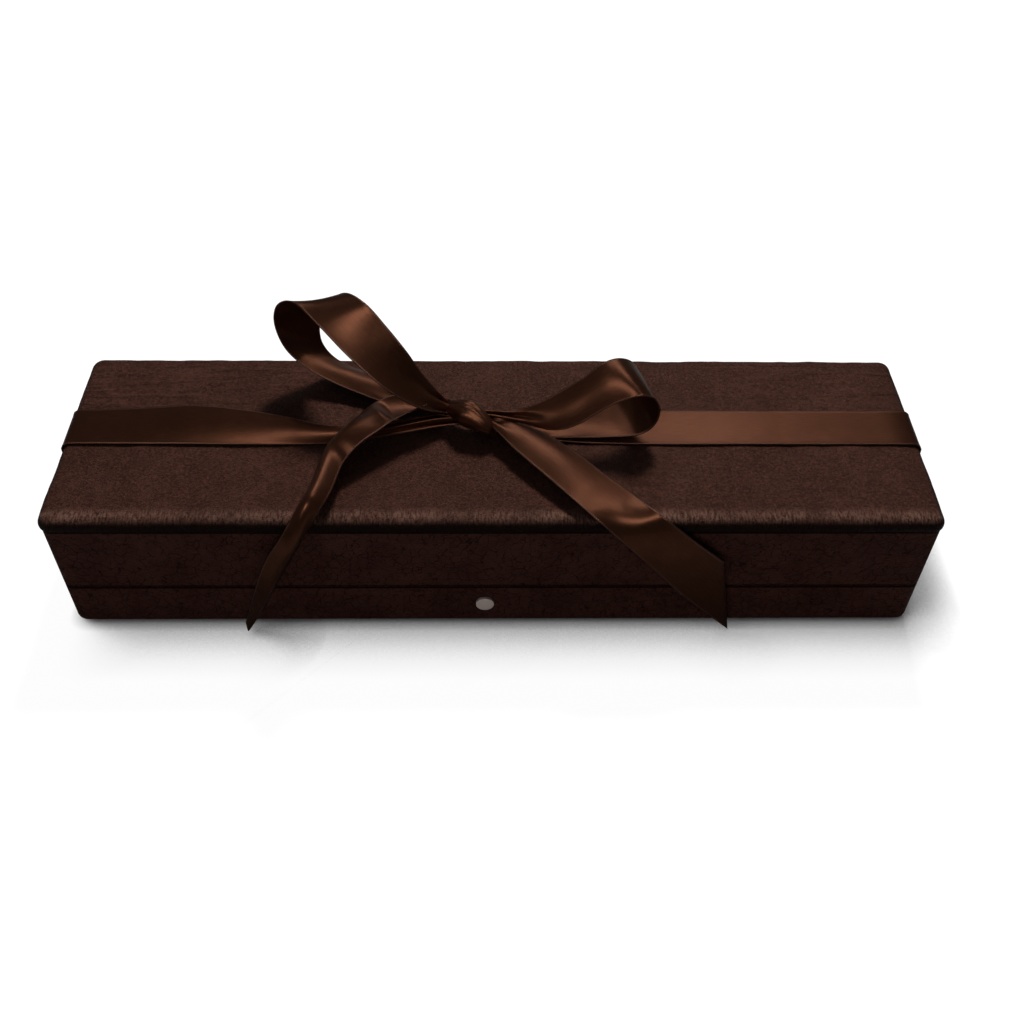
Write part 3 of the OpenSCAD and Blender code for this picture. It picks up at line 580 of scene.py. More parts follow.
def carried_round(steps, half, inset, radius, z):
    """Grid of points: each row is a rounded rectangle, that far inside the half sizes, at its height."""
    inset, radius, z = (v[:, None] for v in (inset, radius, z))
    reach_x, reach_y = half[0] - inset - radius, half[1] - inset - radius
    sx, sy, a, tx, ty, b, share = outline_columns(*steps)
    x0, y0 = sx * reach_x + radius * np.cos(a), sy * reach_y + radius * np.sin(a)
    x1, y1 = tx * reach_x + radius * np.cos(b), ty * reach_y + radius * np.sin(b)
    x, y = x0 + (x1 - x0) * share, y0 + (y1 - y0) * share
    return np.stack(np.broadcast_arrays(x, y, z), -1)


def ring_cap(start, count):
    """Faces that close a ring, joining each column to its mirror image across the X axis."""
    i = np.arange(1, count // 2 - 1)
    strips = np.stack([start + i, start + i + 1, start + count - i - 1, start + count - i], -1).tolist()
    ends = [[start, start + 1, start + count - 1],
            [start + count // 2 - 1, start + count // 2, start + count // 2 + 1]]
    return strips + ends


def closed_round(grid):
    """Points and faces of a grid carried round, with a cap on its first and last row."""
    rows, count = grid.shape[:2]
    last = ring_cap((rows - 1) * count, count)
    faces = grid_faces(rows, count, wrap=True)[:, ::-1].tolist()
    return grid.reshape(-1, 3), faces + [f[::-1] for f in ring_cap(0, count)] + last


# %% Profile of the padded top
TOP_EDGE_R = 2.6
TOP_CORNER_R = 4.1
LEAST_CORNER_R = 0.4
UNDER_R = 1.0
TURN_IN = 9.6
MIDDLE_GAP = 1.2
FLAT_RINGS = 34

half_l, half_w = (top_high - top_low)[:2] / 2
wall_top = top_low[2]
board_top = box_mm("top_board")[1][2]
flat_inset = np.linspace(half_w - MIDDLE_GAP, TOP_EDGE_R, FLAT_RINGS)
bend = np.radians(np.linspace(0, 90, 12))[1:]
under_bend = np.radians(np.linspace(0, 90, 6))[1:]
under_inset = [2.5, 5.5, TURN_IN, TURN_IN, 5.5, 1.2, LEATHER_T]
board_inset = [LEATHER_T, 2.5, 12, half_w - MIDDLE_GAP]
inset = np.concatenate([flat_inset, TOP_EDGE_R * (1 - np.sin(bend)), UNDER_R * (1 - np.cos(under_bend)),
                        under_inset, board_inset])
height = np.concatenate([np.full(FLAT_RINGS, TOP_Z), TOP_Z - TOP_EDGE_R * (1 - np.cos(bend)),
                         wall_top + UNDER_R * (1 - np.sin(under_bend)),
                         [wall_top] * 3, [wall_top + LEATHER_T] * 4, [board_top] * 4])
print(f"profile of {len(inset)} rings, from {height[0]:.1f} down to {height.min():.1f}")

# %% Build the padded top
SETTLE_REACH = 9
SETTLE_DEPTH = 0.35
TOP_SINKS = 0.22
SIDE_BAND = 4

corner = np.where(inset < TOP_EDGE_R, TOP_CORNER_R - inset,
                  TOP_CORNER_R - TOP_EDGE_R + 0.9 * (inset - TOP_EDGE_R))
corner = np.minimum(np.maximum(corner, LEAST_CORNER_R), 0.8 * (half_w - inset))
top = carried_round((280, 76, 8), (half_l, half_w), inset, corner, height)
outside = (np.arange(len(inset)) < FLAT_RINGS + len(bend) + 2)[:, None]
settle = np.clip(1 - inset / SETTLE_REACH, 0, 1)[:, None] ** 2
uneven = 0.1 * ripples(top, 9, 3) + 0.07 * ripples(top, 3.6, 4) * settle + 0.12 * ripples(top, 40, 5)
top[..., 2] += outside * (uneven - TOP_SINKS - SETTLE_DEPTH * settle)
middle_part = np.array([half_l - SIDE_BAND, half_w - SIDE_BAND])
push = unit(top[..., :2] - np.clip(top[..., :2], -middle_part, middle_part))
top[..., :2] += push * (outside * settle * (0.12 * ripples(top, 22, 6) - 0.1))[..., None]
padded_top = new_piece("padded_top", *closed_round(top), "top_leather", "lid")
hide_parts("top_cover", "top_pad")

# %% [markdown]
# ## The ribbon
#
# Each stretch of the ribbon is written as stations: a point of its near edge and one of its
# far edge, the same that the CAD strips follow. A cloth simulation would tie no bow like the
# photographed one. Where the edges come closer together than the ribbon is wide, the cloth between
# them gathers into pleats near the knot, and cups elsewhere. The depth is found by halving an interval
# until the way across is as long as the ribbon is wide.

# %% Stations of the band and of the bow
# Each station: near edge, far edge; x from the middle, y from the ribbon's line, z above the top.
band_left_edges = [
    [[-122, -7.5, 0.3], [-122, 7.5, 0.3]], [[-106, -7.6, 0.3], [-106, 7.3, 1.4]],
    [[-92, -7.8, 0.4], [-92, 6.6, 3]], [[-78, -8, 0.4], [-78, 4.2, 3.6]],
    [[-64, -8, 0.4], [-64, 0.6, 4]], [[-50, -7.5, 0.6], [-50, -3, 3.6]],
    [[-34, -5, 1], [-34, -1.5, 3.4]], [[-18, -2, 2], [-18, 2, 3.6]]]
band_right_edges = [
    [[122, -7.5, 0.3], [122, 7.5, 0.3]], [[80, -7.5, 0.3], [80, 7.5, 0.3]],
    [[45, -7.5, 0.3], [45, 7.5, 0.3]], [[22, -6.5, 0.4], [22, 6.5, 0.4]],
    [[2, -3.5, 1.6], [2, 3.5, 1.6]]]
loop_left_edges = [
    [[-14, 0, 6], [-15, 4.5, 8]], [[-22, -2.5, 10], [-21.5, 7, 15]],
    [[-32, -2, 17], [-26.5, 9, 23]], [[-43, 4, 24.5], [-32, 13, 28.5]],
    [[-52, 12, 29.5], [-38.5, 18, 33.5]], [[-60, 20, 32], [-45.5, 24, 32.5]],
    [[-66, 24, 28], [-53, 29, 23]], [[-68, 25, 20], [-55, 29, 12.5]],
    [[-65, 22.5, 12], [-52, 28, 5.5]], [[-57.5, 18.5, 7], [-45.5, 25, 3]],
    [[-47, 14, 4], [-36, 21, 2.5]], [[-31, 7, 2.5], [-25, 14, 3]],
    [[-17, 1.5, 3.5], [-15, 6, 5]]]
loop_right_edges = [
    [[-1, -2, 6], [2, -0.5, 7]], [[9, -4, 5.5], [8.5, -0.5, 8.5]],
    [[17.5, -8, 6.5], [14, -0.5, 11]], [[24.5, -9, 9.5], [20.5, 1, 14.5]],
    [[30.5, -8, 13.5], [26.5, 2, 18.5]], [[37, -7, 17], [31.5, 4, 22]],
    [[42.5, -7, 19], [36.5, 6, 22.5]], [[47, -6, 17], [41, 7.5, 20]],
    [[49, -6, 12], [43.5, 7.5, 15.5]], [[47.5, -6, 6], [43, 8, 8]],
    [[43, -6, 2.6], [39, 8.5, 4]], [[35, -6, 1.8], [31, 8.5, 2.6]],
    [[26, -6, 1.6], [23, 7, 2.4]], [[15, -6, 2], [13, 4, 3]], [[3, -4, 3.6], [3, 1, 4.4]]]
tail_left_edges = [
    [[-14.5, 3, 7], [-15.5, 6, 7]], [[-18.5, 2, 8.6], [-20, 8, 8]],
    [[-23.5, -2.5, 10], [-27, 8, 7.5]], [[-29, -7, 10.3], [-35, 5.5, 6.5]],
    [[-34.5, -12, 9.6], [-41.5, -1, 5.5]], [[-40, -17, 8.4], [-46.5, -8.5, 5]],
    [[-44, -22.5, 6.5], [-50.5, -15, 4]]]
tail_right_edges = [
    [[-1.5, -5, 5.5], [3, -2, 5]], [[6, -15, 5], [14, -6, 4]],
    [[14.5, -25, 4.5], [23.5, -14, 3.5]], [[22.5, -34, 3.5], [32, -22.5, 2.5]]]
# The hanging ends: y from the front wall.
tail_left_hang = [
    [[-46.5, 5.5, 6.5], [-53, 9, 5]], [[-49.5, -1.5, 5.5], [-55, 1, 6]],
    [[-54.5, -3.5, -3], [-59.5, -5, 0.5]], [[-60, -3, -14.5], [-65.5, -5.5, -10]],
    [[-66, -2.5, -26.5], [-70.5, -5.5, -23]], [[-72.5, -2.5, -38], [-74.5, -4, -36]]]
tail_right_hang = [
    [[29.5, -1, 1], [40, 9.5, 1.5]], [[37.5, -3.5, -6], [47.5, 0.5, 2]],
    [[47, -4, -17], [57.5, -2.5, -5.5]], [[55.5, -4, -27.5], [66.3, -3, -13.4]]]
tail_left_tip = [[-76.3, -2.5, -44.8], [-76.6, -3, -42.5]]
tail_right_tip = [[72.7, -3.7, -45.2], [66.9, -3, -14]]
# Where the stretches end: in the knot, and under it.
INSIDE_KNOT = [[-8, -2, 5.5], [-8, 0.5, 6]]
UNDER_KNOT = [[-8, -1.5, 3], [-8, 1.5, 4]]


# %% Stations as smooth curves
STEPS = 12


def in_place(edges, y=RIBBON_Y):
    """Stations in the case's own frame: y is where theirs are counted from."""
    return np.array(edges, float) + [0, y, TOP_Z]


def smooth_pair(stations):
    """Near and far edge as smooth curves through the stations."""
    return curve_through(stations[:, 0], STEPS), curve_through(stations[:, 1], STEPS)


# %% How deep the cloth folds
ACROSS = 33
HALVINGS = 30
PLEAT_DEPTH = 1.5


def way_across(chord, depth, wave):
    """Length of each cross section: straight over the chord, and out by depth times wave."""
    run = chord[:, None] * np.diff(np.linspace(0, 1, ACROSS))
    rise = depth[:, None] * np.diff(wave, axis=1)
    return np.hypot(run, rise).sum(1)


def fold_depth(chord, wave, deepest):
    """Depth, up to a limit, at which each cross section is as long as the ribbon is wide."""
    low, high = np.zeros_like(chord), deepest.copy()
    for _ in range(HALVINGS):
        middle = (low + high) / 2
        short = way_across(chord, middle, wave) < RIBBON_W
        low, high = np.where(short, middle, low), np.where(short, high, middle)
    return (low + high) / 2


def evened(values, reach=10):
    """Running mean over reach rings each way, so that no hollow starts abruptly."""
    padded = np.pad(values, reach, mode="edge")
    return np.convolve(padded, np.full(2 * reach + 1, 1 / (2 * reach + 1)), mode="valid")


def knot_gather(count, reach, both_ends=True):
    """How far each ring is gathered: full at the knot, none past a share reach of the way."""
    t = np.linspace(0, 1, count)
    g = np.clip(1 - t / reach, 0, 1)
    if both_ends:
        g = np.maximum(g, np.clip(1 - (1 - t) / reach, 0, 1))
    return g * g * (3 - 2 * g)


# %% Build a stretch of ribbon
PLEAT_DRIFT = 1.8
SELVEDGE_SWELL = 0.5
SELVEDGE_SPREAD = 0.45


def ribbon_piece(name, body, near, far, gather, cup, pleats=1.5):
    """A stretch of ribbon between two edge curves, and its length.

    gather says, for each ring, how much of the spare cloth lies in pleats, and cup is the greatest
    depth of its hollow. The grid's point is near edge + share of the way to the far edge + wave along
    the normal. Both faces lie half a thickness off it, and the selvedge is half as thick again."""
    share = np.linspace(0, 1, ACROSS)
    chord = np.linalg.norm(far - near, axis=1)
    hollow = np.sin(np.pi * share)[None] * np.clip(cup, -1, 1)[:, None]
    drift = np.linspace(0, PLEAT_DRIFT, len(near))[:, None]
    folds = np.sin(2 * np.pi * pleats * share[None] + drift)
    folds = folds * np.minimum(1, 8 * share * (1 - share) + 0.25)[None]
    wave = (1 - gather[:, None]) * hollow + gather[:, None] * folds
    depth = evened(fold_depth(chord, wave, np.abs(cup) * (1 - gather) + PLEAT_DEPTH * gather))
    base = near[:, None] * (1 - share[None, :, None]) + far[:, None] * share[None, :, None]
    facing = unit(np.cross(np.gradient(near + far, axis=0), far - near))
    middle = base + facing[:, None] * (depth[:, None] * wave)[..., None]
    normal = unit(np.cross(*np.gradient(middle, axis=(0, 1))))
    from_edge = RIBBON_W * np.minimum(share, 1 - share)
    thick = RIBBON_T / 2 * (1 + SELVEDGE_SWELL * np.exp(-(from_edge / SELVEDGE_SPREAD) ** 2))
    offset = normal * thick[None, :, None]
    along = np.linalg.norm(np.diff(middle.mean(1), axis=0), axis=1)
    along = np.concatenate([[0], np.cumsum(along)])
    uv = np.stack(np.broadcast_arrays(along[:, None], RIBBON_W * share[None]), -1).reshape(-1, 2)
    piece = new_piece(name, *closed_sheet(middle + offset, middle - offset), "ribbon_satin", body,
                      np.concatenate([uv, uv]))
    return piece, along[-1]


def declare_ribbon(piece, length, stands_for):
    """Hides the CAD part that the piece stands for, and prints how much ribbon the piece is."""
    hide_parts(stands_for)
    print(f"  {piece.name}: {length:.0f} mm of ribbon")


# %% [markdown]
# ### The band
#
# Under the case and up its ends the ribbon is drawn tight, so it follows a path of straight lines
# and arcs. On the lid's top the stations take over. To the left of the bow its back edge curls up,
# because the knot pulls it askew.


# %% Paths for the flat stretches
def arc(centre_x, centre_z, radius, start, stop, count=8):
    """Points of an arc in the XZ plane, between two angles in degrees."""
    a = np.radians(np.linspace(start, stop, count))
    return np.stack([centre_x + radius * np.cos(a), centre_z + radius * np.sin(a)], -1)


def straight_edges(path):
    """Both edges of a flat stretch of ribbon that follows a path of x and z."""
    near = np.insert(path, 1, RIBBON_Y - RIBBON_W / 2, axis=1)
    return near, near + [0, RIBBON_W, 0]


def refined(path, step):
    """The path with its points spaced evenly, about step apart."""
    reach = np.concatenate([[0], np.cumsum(np.linalg.norm(np.diff(path, axis=0), axis=1))])
    even = np.linspace(0, reach[-1], int(reach[-1] / step) + 1)
    return np.stack([np.interp(even, reach, column) for column in path.T], -1)


# %% Band under the case and up the base's ends
FOOT_R = 2.75
FLAT_CUP = 0.05

end_x = (under_high[0] - under_low[0]) / 2 - RIBBON_T / 2
low_z = under_low[2] + RIBBON_T / 2
right_half = np.concatenate([[[0, low_z]], arc(end_x - FOOT_R, low_z + FOOT_R, FOOT_R, -90, 0),
                             [[end_x, under_high[2]]]])
under_path = np.concatenate([right_half[:0:-1] * [-1, 1], right_half])
near, far = straight_edges(refined(under_path, 1.5))
flat_ring = np.zeros(len(near))
ribbon_under, length = ribbon_piece("ribbon_under", "base", near, far, flat_ring, flat_ring + FLAT_CUP)
declare_ribbon(ribbon_under, length, "ribbon_base")

# %% Band over the lid's ends and along the top
BAND_LIFT = 0.25
SEAM_STOP = 0.15
LEDGE_STEP = 1.8
BAND_CUP = 1.2

wall_x = wall_high[0] + BAND_LIFT
cap_x = top_high[0] + BAND_LIFT
bend_r = TOP_EDGE_R + BAND_LIFT
lid_path = np.concatenate([[[wall_x, wall_low[2] + SEAM_STOP], [wall_x, wall_top - LEDGE_STEP],
                            [cap_x, wall_top + UNDER_R]],
                           arc(cap_x - bend_r, TOP_Z - TOP_EDGE_R, bend_r, 0, 90, 14)])
for side, outwards, edges in (("left", -1, band_left_edges), ("right", 1, band_right_edges)):
    end_near, end_far = straight_edges(refined(lid_path, 1.2) * [outwards, 1])
    top_near, top_far = smooth_pair(in_place([*edges, UNDER_KNOT]))
    near, far = np.concatenate([end_near, top_near]), np.concatenate([end_far, top_far])
    gather = knot_gather(len(near), 0.3, both_ends=False)[::-1]
    cup = np.where(np.arange(len(near)) < len(end_near), FLAT_CUP, BAND_CUP)
    piece, length = ribbon_piece("ribbon_band_" + side, "lid", near, far, gather, cup, pleats=2.0)
    declare_ribbon(piece, length, "ribbon_" + side)

# %% [markdown]
# ### The bow
#
# Two loops and two ends come out of the knot. The left loop stands up and leans back, the right one
# lies low, and both ends run to the front, bend over the padded edge and hang down in front of the
# wall, each cut at a slant. They differ in their stations only, so the same code makes both.

# %% Loops
LOOP_CUP = 1.6
BOW_GATHER = 0.22

for side, edges in (("left", loop_left_edges), ("right", loop_right_edges)):
    near, far = smooth_pair(in_place([INSIDE_KNOT, *edges, INSIDE_KNOT]))
    gather = knot_gather(len(near), BOW_GATHER)
    cup = np.full(len(near), LOOP_CUP)
    piece, length = ribbon_piece(f"bow_loop_{side}_satin", "lid", near, far, gather, cup)
    declare_ribbon(piece, length, "bow_loop_" + side)


# %% Hanging ends
TIP_STEPS = 6
TURN_SHARE = 0.06


def hanging_end(side, top_edges, hang_edges, tip, cup, turned=-1.0):
    """An end of the ribbon from the knot to its tip, which is cut so that one edge is slant longer.

    cup is its greatest hollow, which flattens towards the tip, and lies on the other side over the
    first share, turned, of the way."""
    near, far = smooth_pair(np.concatenate([in_place([INSIDE_KNOT, *top_edges]),
                                            in_place(hang_edges, FRONT_Y)]))
    end = in_place(tip, FRONT_Y)
    last = np.linspace(0, 1, TIP_STEPS + 1)[1:, None]
    near = np.concatenate([near, near[-1] + last * (end[0] - near[-1])])
    far = np.concatenate([far, far[-1] + last * (end[1] - far[-1])])
    gather = knot_gather(len(near), BOW_GATHER, both_ends=False)
    t = np.linspace(0, 1, len(near))
    free = (1 - 0.9 * t) ** 0.25 * np.clip((t - turned) / TURN_SHARE, -1, 1)
    piece, _ = ribbon_piece(f"bow_tail_{side}_satin", "lid", near, far, gather, cup * free)
    longest = max(np.linalg.norm(np.diff(edge, axis=0), axis=1).sum() for edge in (near, far))
    declare_ribbon(piece, longest, "bow_tail_" + side)


hanging_end("left", tail_left_edges, tail_left_hang, tail_left_tip, -4.1, turned=0.31)
hanging_end("right", tail_right_edges, tail_right_hang, tail_right_tip, 1.5)

# %% [markdown]
# ### The knot
#
# A knot of ribbon is a short, tight bundle of folds. Tying it would take a long simulation for a
# piece of the size of a fingertip, so it is a tube along the strap that shows in the middle of the
# bow. Its radius swells in the middle, and its folds run along it and twist a little.

# %% Knot
KNOT_AT = np.array([-8.0, -1.0, 5.0])
KNOT_TURN = np.radians(-38)
KNOT_HALF = 9.5
KNOT_R, KNOT_BELLY = 3.3, 0.8
KNOT_ARCH = 1.6
KNOT_END_R = 0.02

s = np.linspace(-1, 1, 61)[:, None]
theta = np.linspace(0, 2 * np.pi, 96, endpoint=False)[None]
swell = np.sqrt(np.clip(1 - s**2, 0, 1)) ** 0.8
crease = (0.16 * np.abs(np.sin(1.5 * theta + 1.1 * s + 0.9)) ** 0.8
          + 0.05 * np.abs(np.sin(4.5 * theta - 1.8 * s + 0.5 * np.sin(3 * s))))
reach = swell * (KNOT_R + KNOT_BELLY * np.exp(-(s / 0.4) ** 2)) * (0.9 + crease) + KNOT_END_R
length_wise = KNOT_HALF * s + 0 * theta
lift = 0.9 * reach * np.sin(theta) + (KNOT_ARCH * (1 - s**2) + 0 * theta)
knot = np.stack([length_wise, reach * np.cos(theta), lift], -1)
knot[..., :2] = knot[..., :2] @ turn(KNOT_TURN).T
knot += KNOT_AT + [0, RIBBON_Y, TOP_Z]
uv = np.stack(np.broadcast_arrays(length_wise + KNOT_HALF, RIBBON_W * theta / (2 * np.pi)), -1)
bow_knot_satin = new_piece("bow_knot_satin", *closed_round(knot), "ribbon_satin", "lid", uv.reshape(-1, 2))
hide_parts("bow_knot")

# %% [markdown]
# ## Inside the case
#
# The lid opens on a velvet insert for the flute's joints, a satin cushion in the lid and a lining on
# its walls. The cushion is a profile as the padded top's, upside down: it bulges over its pad and is
# gathered all round, where the satin is tucked in.

# %% Cushion in the lid
SWELL_RUN = 15.0
GATHER_RUN = 13
EDGE_THICK = 0.9
CUSHION_RINGS = 24
CUSHION_GAP = 0.8

cushion_low, cushion_high = box_mm("lid_cushion")
half_l, half_w = (cushion_high - cushion_low)[:2] / 2
innermost = half_w - CUSHION_GAP
inset = np.concatenate([innermost - np.linspace(0, 1, CUSHION_RINGS) * (innermost - 1.4),
                        [0.9, 0.45, 0.15, 0.0], [0.0, 0.3, 1.5, 8.0, innermost]])
crown = np.sqrt(np.clip(1 - (1 - np.clip(inset / SWELL_RUN, 0, 1)) ** 2.4, 0, 1))
thick = cushion_high[2] - cushion_low[2]
height = cushion_high[2] - EDGE_THICK - (thick - EDGE_THICK) * crown
height[-5:] = cushion_high[2] - [0.6, 0.1, 0, 0, 0]
corner = np.minimum(3.4 + 0.8 * inset, 0.8 * (half_w - inset))
cushion = carried_round((300, 84, 10), (half_l, half_w), inset, corner, height)
showing = (np.arange(len(inset)) < CUSHION_RINGS + 4)[:, None]
around = np.arange(cushion.shape[1])[None] * 2 * np.pi / cushion.shape[1]
gathers = np.sin(118 * around + 3 * np.sin(7 * around)) + 0.6 * np.sin(73 * around + 2 * np.sin(5 * around))
pull = np.clip(1 - inset / GATHER_RUN, 0, 1)[:, None] ** 1.5
cushion[..., 2] += showing * (0.3 * gathers * pull + 0.18 * ripples(cushion, 24, 11)) + showing * 0.35
lid_cushion_satin = new_piece("lid_cushion_satin", *closed_round(cushion), "lining_satin", "lid",
                              cushion[..., :2].reshape(-1, 2))
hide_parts("lid_cushion")

# %% [markdown]
# ### The lining
#
# Satin is pasted to the lid's walls in one band: a closed ring, carried round like the top, whose
# last row joins its first one. It puckers a little, as cloth does that is pasted by hand.

# %% Lining of the lid's walls
LINING_T = 0.5
WALL_ROWS = 16
BACK_ROW_Z = 30

room_low, room_high = box_mm("lid_lining")
half_l, half_w = (room_high - room_low)[:2] / 2
rise = np.linspace(room_low[2] + 0.2, room_high[2] - 0.1, WALL_ROWS)
inset = np.concatenate([[0.02, 0.2], np.full(WALL_ROWS, LINING_T), [0.2, 0.02], [0.02]])
height = np.concatenate([[room_low[2]] * 2, rise, [room_high[2] - 0.02] * 2, [BACK_ROW_Z]])
lining = carried_round((320, 90, 6), (half_l, half_w), inset, 0.7 - 0.5 * inset, height)
around = np.arange(lining.shape[1])[None] * 2 * np.pi / lining.shape[1]
inner = (np.abs(inset - LINING_T) < 0.01)[:, None]
puckers = 0.1 * np.sin(96 * around + 4 * np.sin(9 * around) + 0.1 * height[:, None]) * inner
push = np.sign(lining[..., :2]) * (np.abs(lining[..., :2]) > [half_l - 1, half_w - 1])
lining[..., :2] -= push * puckers[..., None]
rows, count = lining.shape[:2]
first, last = np.arange(count), np.arange(count) + (rows - 1) * count
joined = np.stack([last, first, np.roll(first, -1), np.roll(last, -1)], -1)
faces = np.concatenate([grid_faces(rows, count, wrap=True), joined]).tolist()
uv = np.stack(np.broadcast_arrays(around * half_l, height[:, None]), -1).reshape(-1, 2)
lid_lining_satin = new_piece("lid_lining_satin", lining.reshape(-1, 3), faces, "lining_satin", "lid", uv)
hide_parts("lid_lining")

# %% [markdown]
# ### The velvet insert
#
# Velvet is glued over a shaped block. Channels cut out of a box would have sharp lips. So the insert
# is a height over every point of its plan: the lowest of the flat top, the round channels, the thumb
# scoops and the pocket. A soft minimum, minus the logarithm of a sum of falling exponentials, joins
# them with the rounded lips that velvet has.

# %% Places in the insert
insert_low, insert_high = box_mm("insert_block")
INSERT_TOP = insert_high[2]
LIP = 0.8
STEEP = 14.0
BODY_Y, BODY_R, BODY_HALF = 13.2, 12.0, 108.0
HEAD_Y, HEAD_R, HEAD_X, HEAD_HALF = -9.5, 8.2, -53.0, 66.0
POCKET_X, POCKET_HALF_L, POCKET_HALF_W, POCKET_Z = 81.0, 31.0, 7.5, 7.9
SCOOPS, SCOOP_R = (-78, 0, 78), 9.0
SCOOP_FRONT, SCOOP_BACK = HEAD_Y - HEAD_R - 1, BODY_Y + BODY_R + 3
CATCH_X, CATCH_HALF, CATCH_BACK = -3.0, 11.2, -20.4
LEAF_X, LEAF_HALF, LEAF_FRONT, LEAF_Z = 70, 10.2, 31.5, 9.0
LEDGE_W, LEDGE_Z = 1.1, 17.0
LEAST_T = 0.3


# %% Heights of the channels, and their soft minimum
def channel(across, radius, along, half, axis_z=SEAM_Z):
    """Height of a round channel's wall: a half circle across, and steep ends along."""
    curve = axis_z - np.sqrt(np.clip(radius**2 - across**2, 0, None))
    curve = curve + STEEP * np.clip(np.abs(across) - radius, 0, None)
    return np.maximum(curve, axis_z - radius + STEEP * (np.abs(along) - half + 0.6))


def lowest(*heights):
    """Soft minimum, always a little below the lowest of its heights."""
    return -LIP * np.log(sum(np.exp(-(h - INSERT_TOP) / LIP) for h in heights)) + INSERT_TOP


def lines(half, step, edges):
    """Grid lines from -half to half, about step apart, with four closer ones at each edge."""
    close = np.array([e + d for e in edges for d in (-0.7, -0.25, 0.25, 0.7)])
    even = np.arange(-half, half + step / 2, step)
    even = even[np.abs(even[:, None] - close[None]).min(1) > 0.3]
    found = np.sort(np.concatenate([even, close, [-half, half]]))
    found = found[np.abs(found) <= half]
    return found[np.concatenate([[True], np.diff(found) > 0.05])]


# %% Grid over the insert's plan
half_l, half_w = insert_high[:2]
upper_l, upper_w = half_l - LEDGE_W, half_w - LEDGE_W
x_edges = [middle + side * reach for side in (-1, 1) for middle, reach in (
    (0, BODY_HALF), (HEAD_X, HEAD_HALF), (POCKET_X, POCKET_HALF_L), (CATCH_X, CATCH_HALF), (0, upper_l))]
y_edges = [HEAD_Y - POCKET_HALF_W, HEAD_Y + POCKET_HALF_W, CATCH_BACK, -upper_w, upper_w]
x, y = np.meshgrid(lines(half_l, 0.9, x_edges), lines(half_w, 0.6, y_edges), indexing="ij")
print("insert:", *x.shape, "grid lines")

# %% Velvet insert
scoop_middle, scoop_half = (SCOOP_FRONT + SCOOP_BACK) / 2, (SCOOP_BACK - SCOOP_FRONT) / 2
scoops = [channel(x - at, SCOOP_R, y - scoop_middle, scoop_half, INSERT_TOP + 1) for at in SCOOPS]
pocket_far = np.maximum(np.abs(x - POCKET_X) - POCKET_HALF_L, np.abs(y - HEAD_Y) - POCKET_HALF_W)
pocket = POCKET_Z + STEEP * np.clip(pocket_far + 0.7, 0, None)
height = lowest(np.full(x.shape, INSERT_TOP), channel(y - BODY_Y, BODY_R, x, BODY_HALF),
                channel(y - HEAD_Y, HEAD_R, x - HEAD_X, HEAD_HALF), pocket, *scoops)
rim = np.maximum(np.abs(x) - upper_l, np.abs(y) - upper_w)
height = np.where(rim > -0.1, LEDGE_Z, height - 0.8 * np.clip(1 + rim / 0.8, 0, 1) ** 2)
catch_room = (np.abs(x - CATCH_X) < CATCH_HALF) & (y < CATCH_BACK)
leaf_room = (np.abs(np.abs(x) - LEAF_X) < LEAF_HALF) & (y > LEAF_FRONT)
floor_z = insert_low[2]
height = np.where(catch_room, floor_z, np.where(leaf_room, LEAF_Z, height))
upper = np.stack([x, y, np.maximum(height, floor_z + LEAST_T)], -1)
lower = np.stack([x, y, np.full(x.shape, floor_z)], -1)
velvet_insert = new_piece("velvet_insert", *closed_sheet(upper, lower), "velvet", "base")
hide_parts("insert_block")

# %% [markdown]
# ## The floor
#
# The photograph shows the case on plain white with a soft shadow close round it, mostly to the right
# and in front. A lit floor would need so much light that the dark case would turn pale. So it glows
# for the camera, and is dimmed by the share of the sky that the case hides: once seen leaning to one
# side, and once right under its edge.

# %% Floor
FLOOR_HALF = 40.0
FLOOR_GREY = 0.75
SHADOW_GREY = 0.14
GLOW = 0.96
MIRRORED_GLOW = 0.03
SHADOW_REACH = 0.022
SHADOW_SIDE = (-1.0, 0.15, 0.3)
UNDER_EDGE = 0.004

floor_mesh = bpy.data.meshes.new("floor")
floor_mesh.from_pydata([(-1, -1, 0), (1, -1, 0), (1, 1, 0), (-1, 1, 0)], [], [(0, 1, 2, 3)])
floor_mesh.transform(Matrix.Diagonal((FLOOR_HALF, FLOOR_HALF, 1, 1)))
floor = placed("floor", floor_mesh)
print(f"floor {2 * FLOOR_HALF:.0f} m wide")


# %% Paint of the floor
def openness(tree, reach, samples, **inputs):
    """Share of the sky, 0 to 1, that nothing within that many metres hides."""
    return add(tree, "AmbientOcclusion", {"Distance": reach, **inputs}, samples=samples).outputs["AO"]


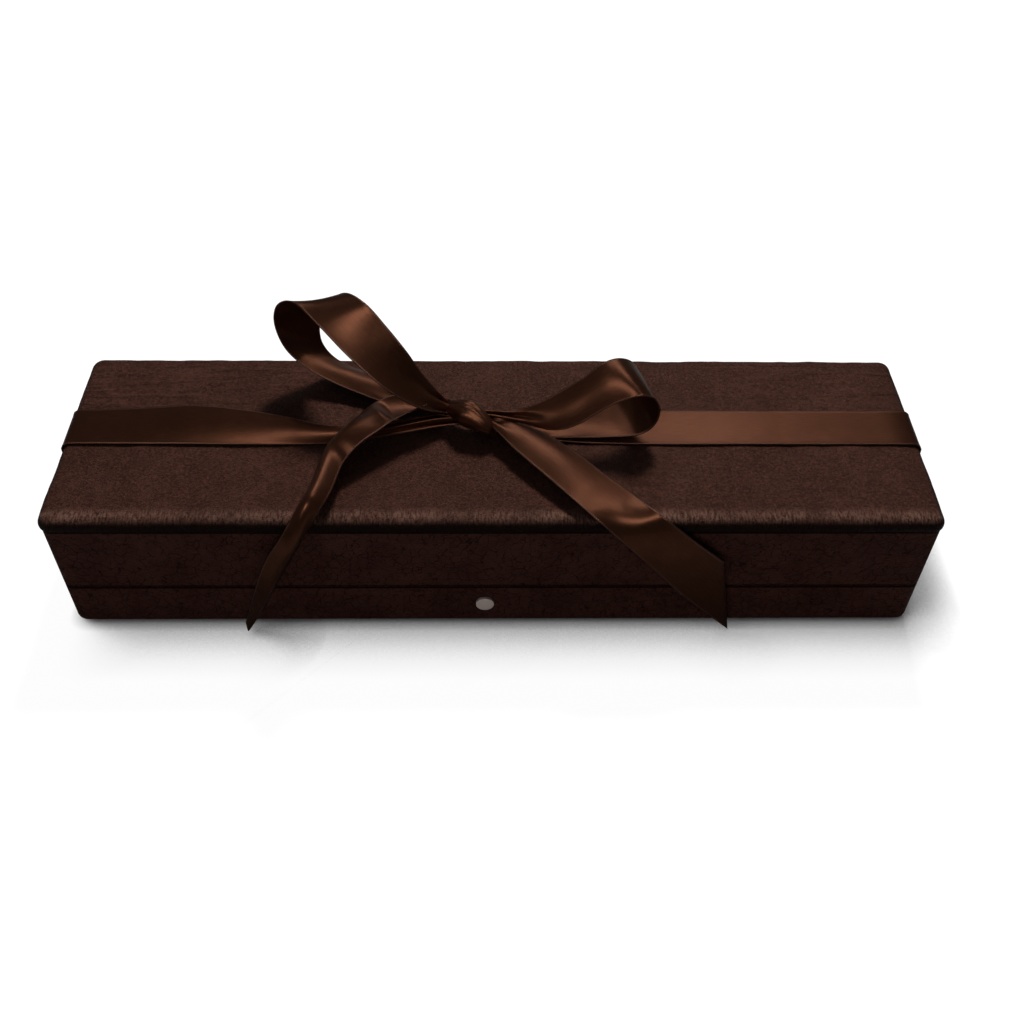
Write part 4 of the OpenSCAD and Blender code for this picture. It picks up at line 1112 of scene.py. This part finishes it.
floor_paint, tree = new_material("floor_paint", 1.0)
tree.nodes.clear()
rays = add(tree, "LightPath").outputs
paint = add(tree, "BsdfDiffuse", {"Color": fade(rays["Is Diffuse Ray"], 0, 1, SHADOW_GREY, FLOOR_GREY)})
leaning = add(tree, "CombineXYZ", dict(enumerate(SHADOW_SIDE))).outputs[0]
beside = openness(tree, SHADOW_REACH, 8, Normal=leaning)
nearby = product(fade(beside, 0.45, 1.0), openness(tree, UNDER_EDGE, 4))
direct = math_node("ADD", rays["Is Camera Ray"], rays["Is Transmission Ray"], clamp=True)
direct = product(direct, GLOW, nearby)
mirrored = product(rays["Is Glossy Ray"], MIRRORED_GLOW, openness(tree, 4 * SHADOW_REACH, 4))
glow = add(tree, "Emission", {"Strength": math_node("ADD", direct, mirrored)})
both = add(tree, "AddShader", {0: paint.outputs[0], 1: glow.outputs[0]})
add(tree, "OutputMaterial", {"Surface": both.outputs[0]})
floor_mesh.materials.append(floor_paint)
print(f"{floor_paint.name}: {len(tree.nodes)} nodes")

# %% [markdown]
# ## The light
#
# The bow's shadow falls to the front, so the key lamp stands high behind the case. A low lamp in
# front fills the walls and the inside of the open lid, and a weak one the left. The lights on satin
# and leather lie elsewhere, as in a studio with several soft boxes, so four more lamps are seen only
# by what mirrors them. The world is white for the camera and nearly dark for everything else.


# %% Lamps
def lamp(name, at, size, watts, unseen_by):
    """A rectangular soft lamp at a place in metres, turned to the case, that one kind of ray ignores."""
    data = bpy.data.lights.new(name, "AREA")
    data.shape = "RECTANGLE"
    data.size, data.size_y = size
    data.energy = watts
    back = unit(np.array(at))
    side = unit(np.cross([0, 1, 0.001], back))
    made = placed(name, data, (side, np.cross(back, side), back), at)
    setattr(made, "visible_" + unseen_by, False)
    print(f"lamp {name}: {watts} W")


lamp("key", (0.12, 0.58, 0.81), (0.16, 0.16), 11.6, "glossy")
lamp("left", (-0.62, 0.15, 0.85), (0.4, 0.4), 0.4, "glossy")
lamp("front", (-0.2, -0.95, 0.2), (0.5, 0.2), 2.4, "glossy")
lamp("behind", (0.065, 0.72, 0.69), (0.46, 0.3), 1.05, "diffuse")
lamp("overhead", (-0.11, -0.38, 0.92), (0.5, 0.3), 1.8, "diffuse")
lamp("right", (0.33, 0.42, 0.85), (0.22, 0.22), 0.6, "diffuse")
lamp("aside", (-0.63, -0.42, 0.66), (0.25, 0.25), 0.35, "diffuse")

# %% Surroundings
WORLD_DIM = 0.05

world = bpy.data.worlds.new("studio")
bpy.context.scene.world = world
world.use_nodes = True
tree = world.node_tree
level = fade(add(tree, "LightPath").outputs["Is Camera Ray"], 0, 1, WORLD_DIM, 1.0)
tree.links.new(level, tree.nodes["Background"].inputs["Color"])
print("world", world.name)
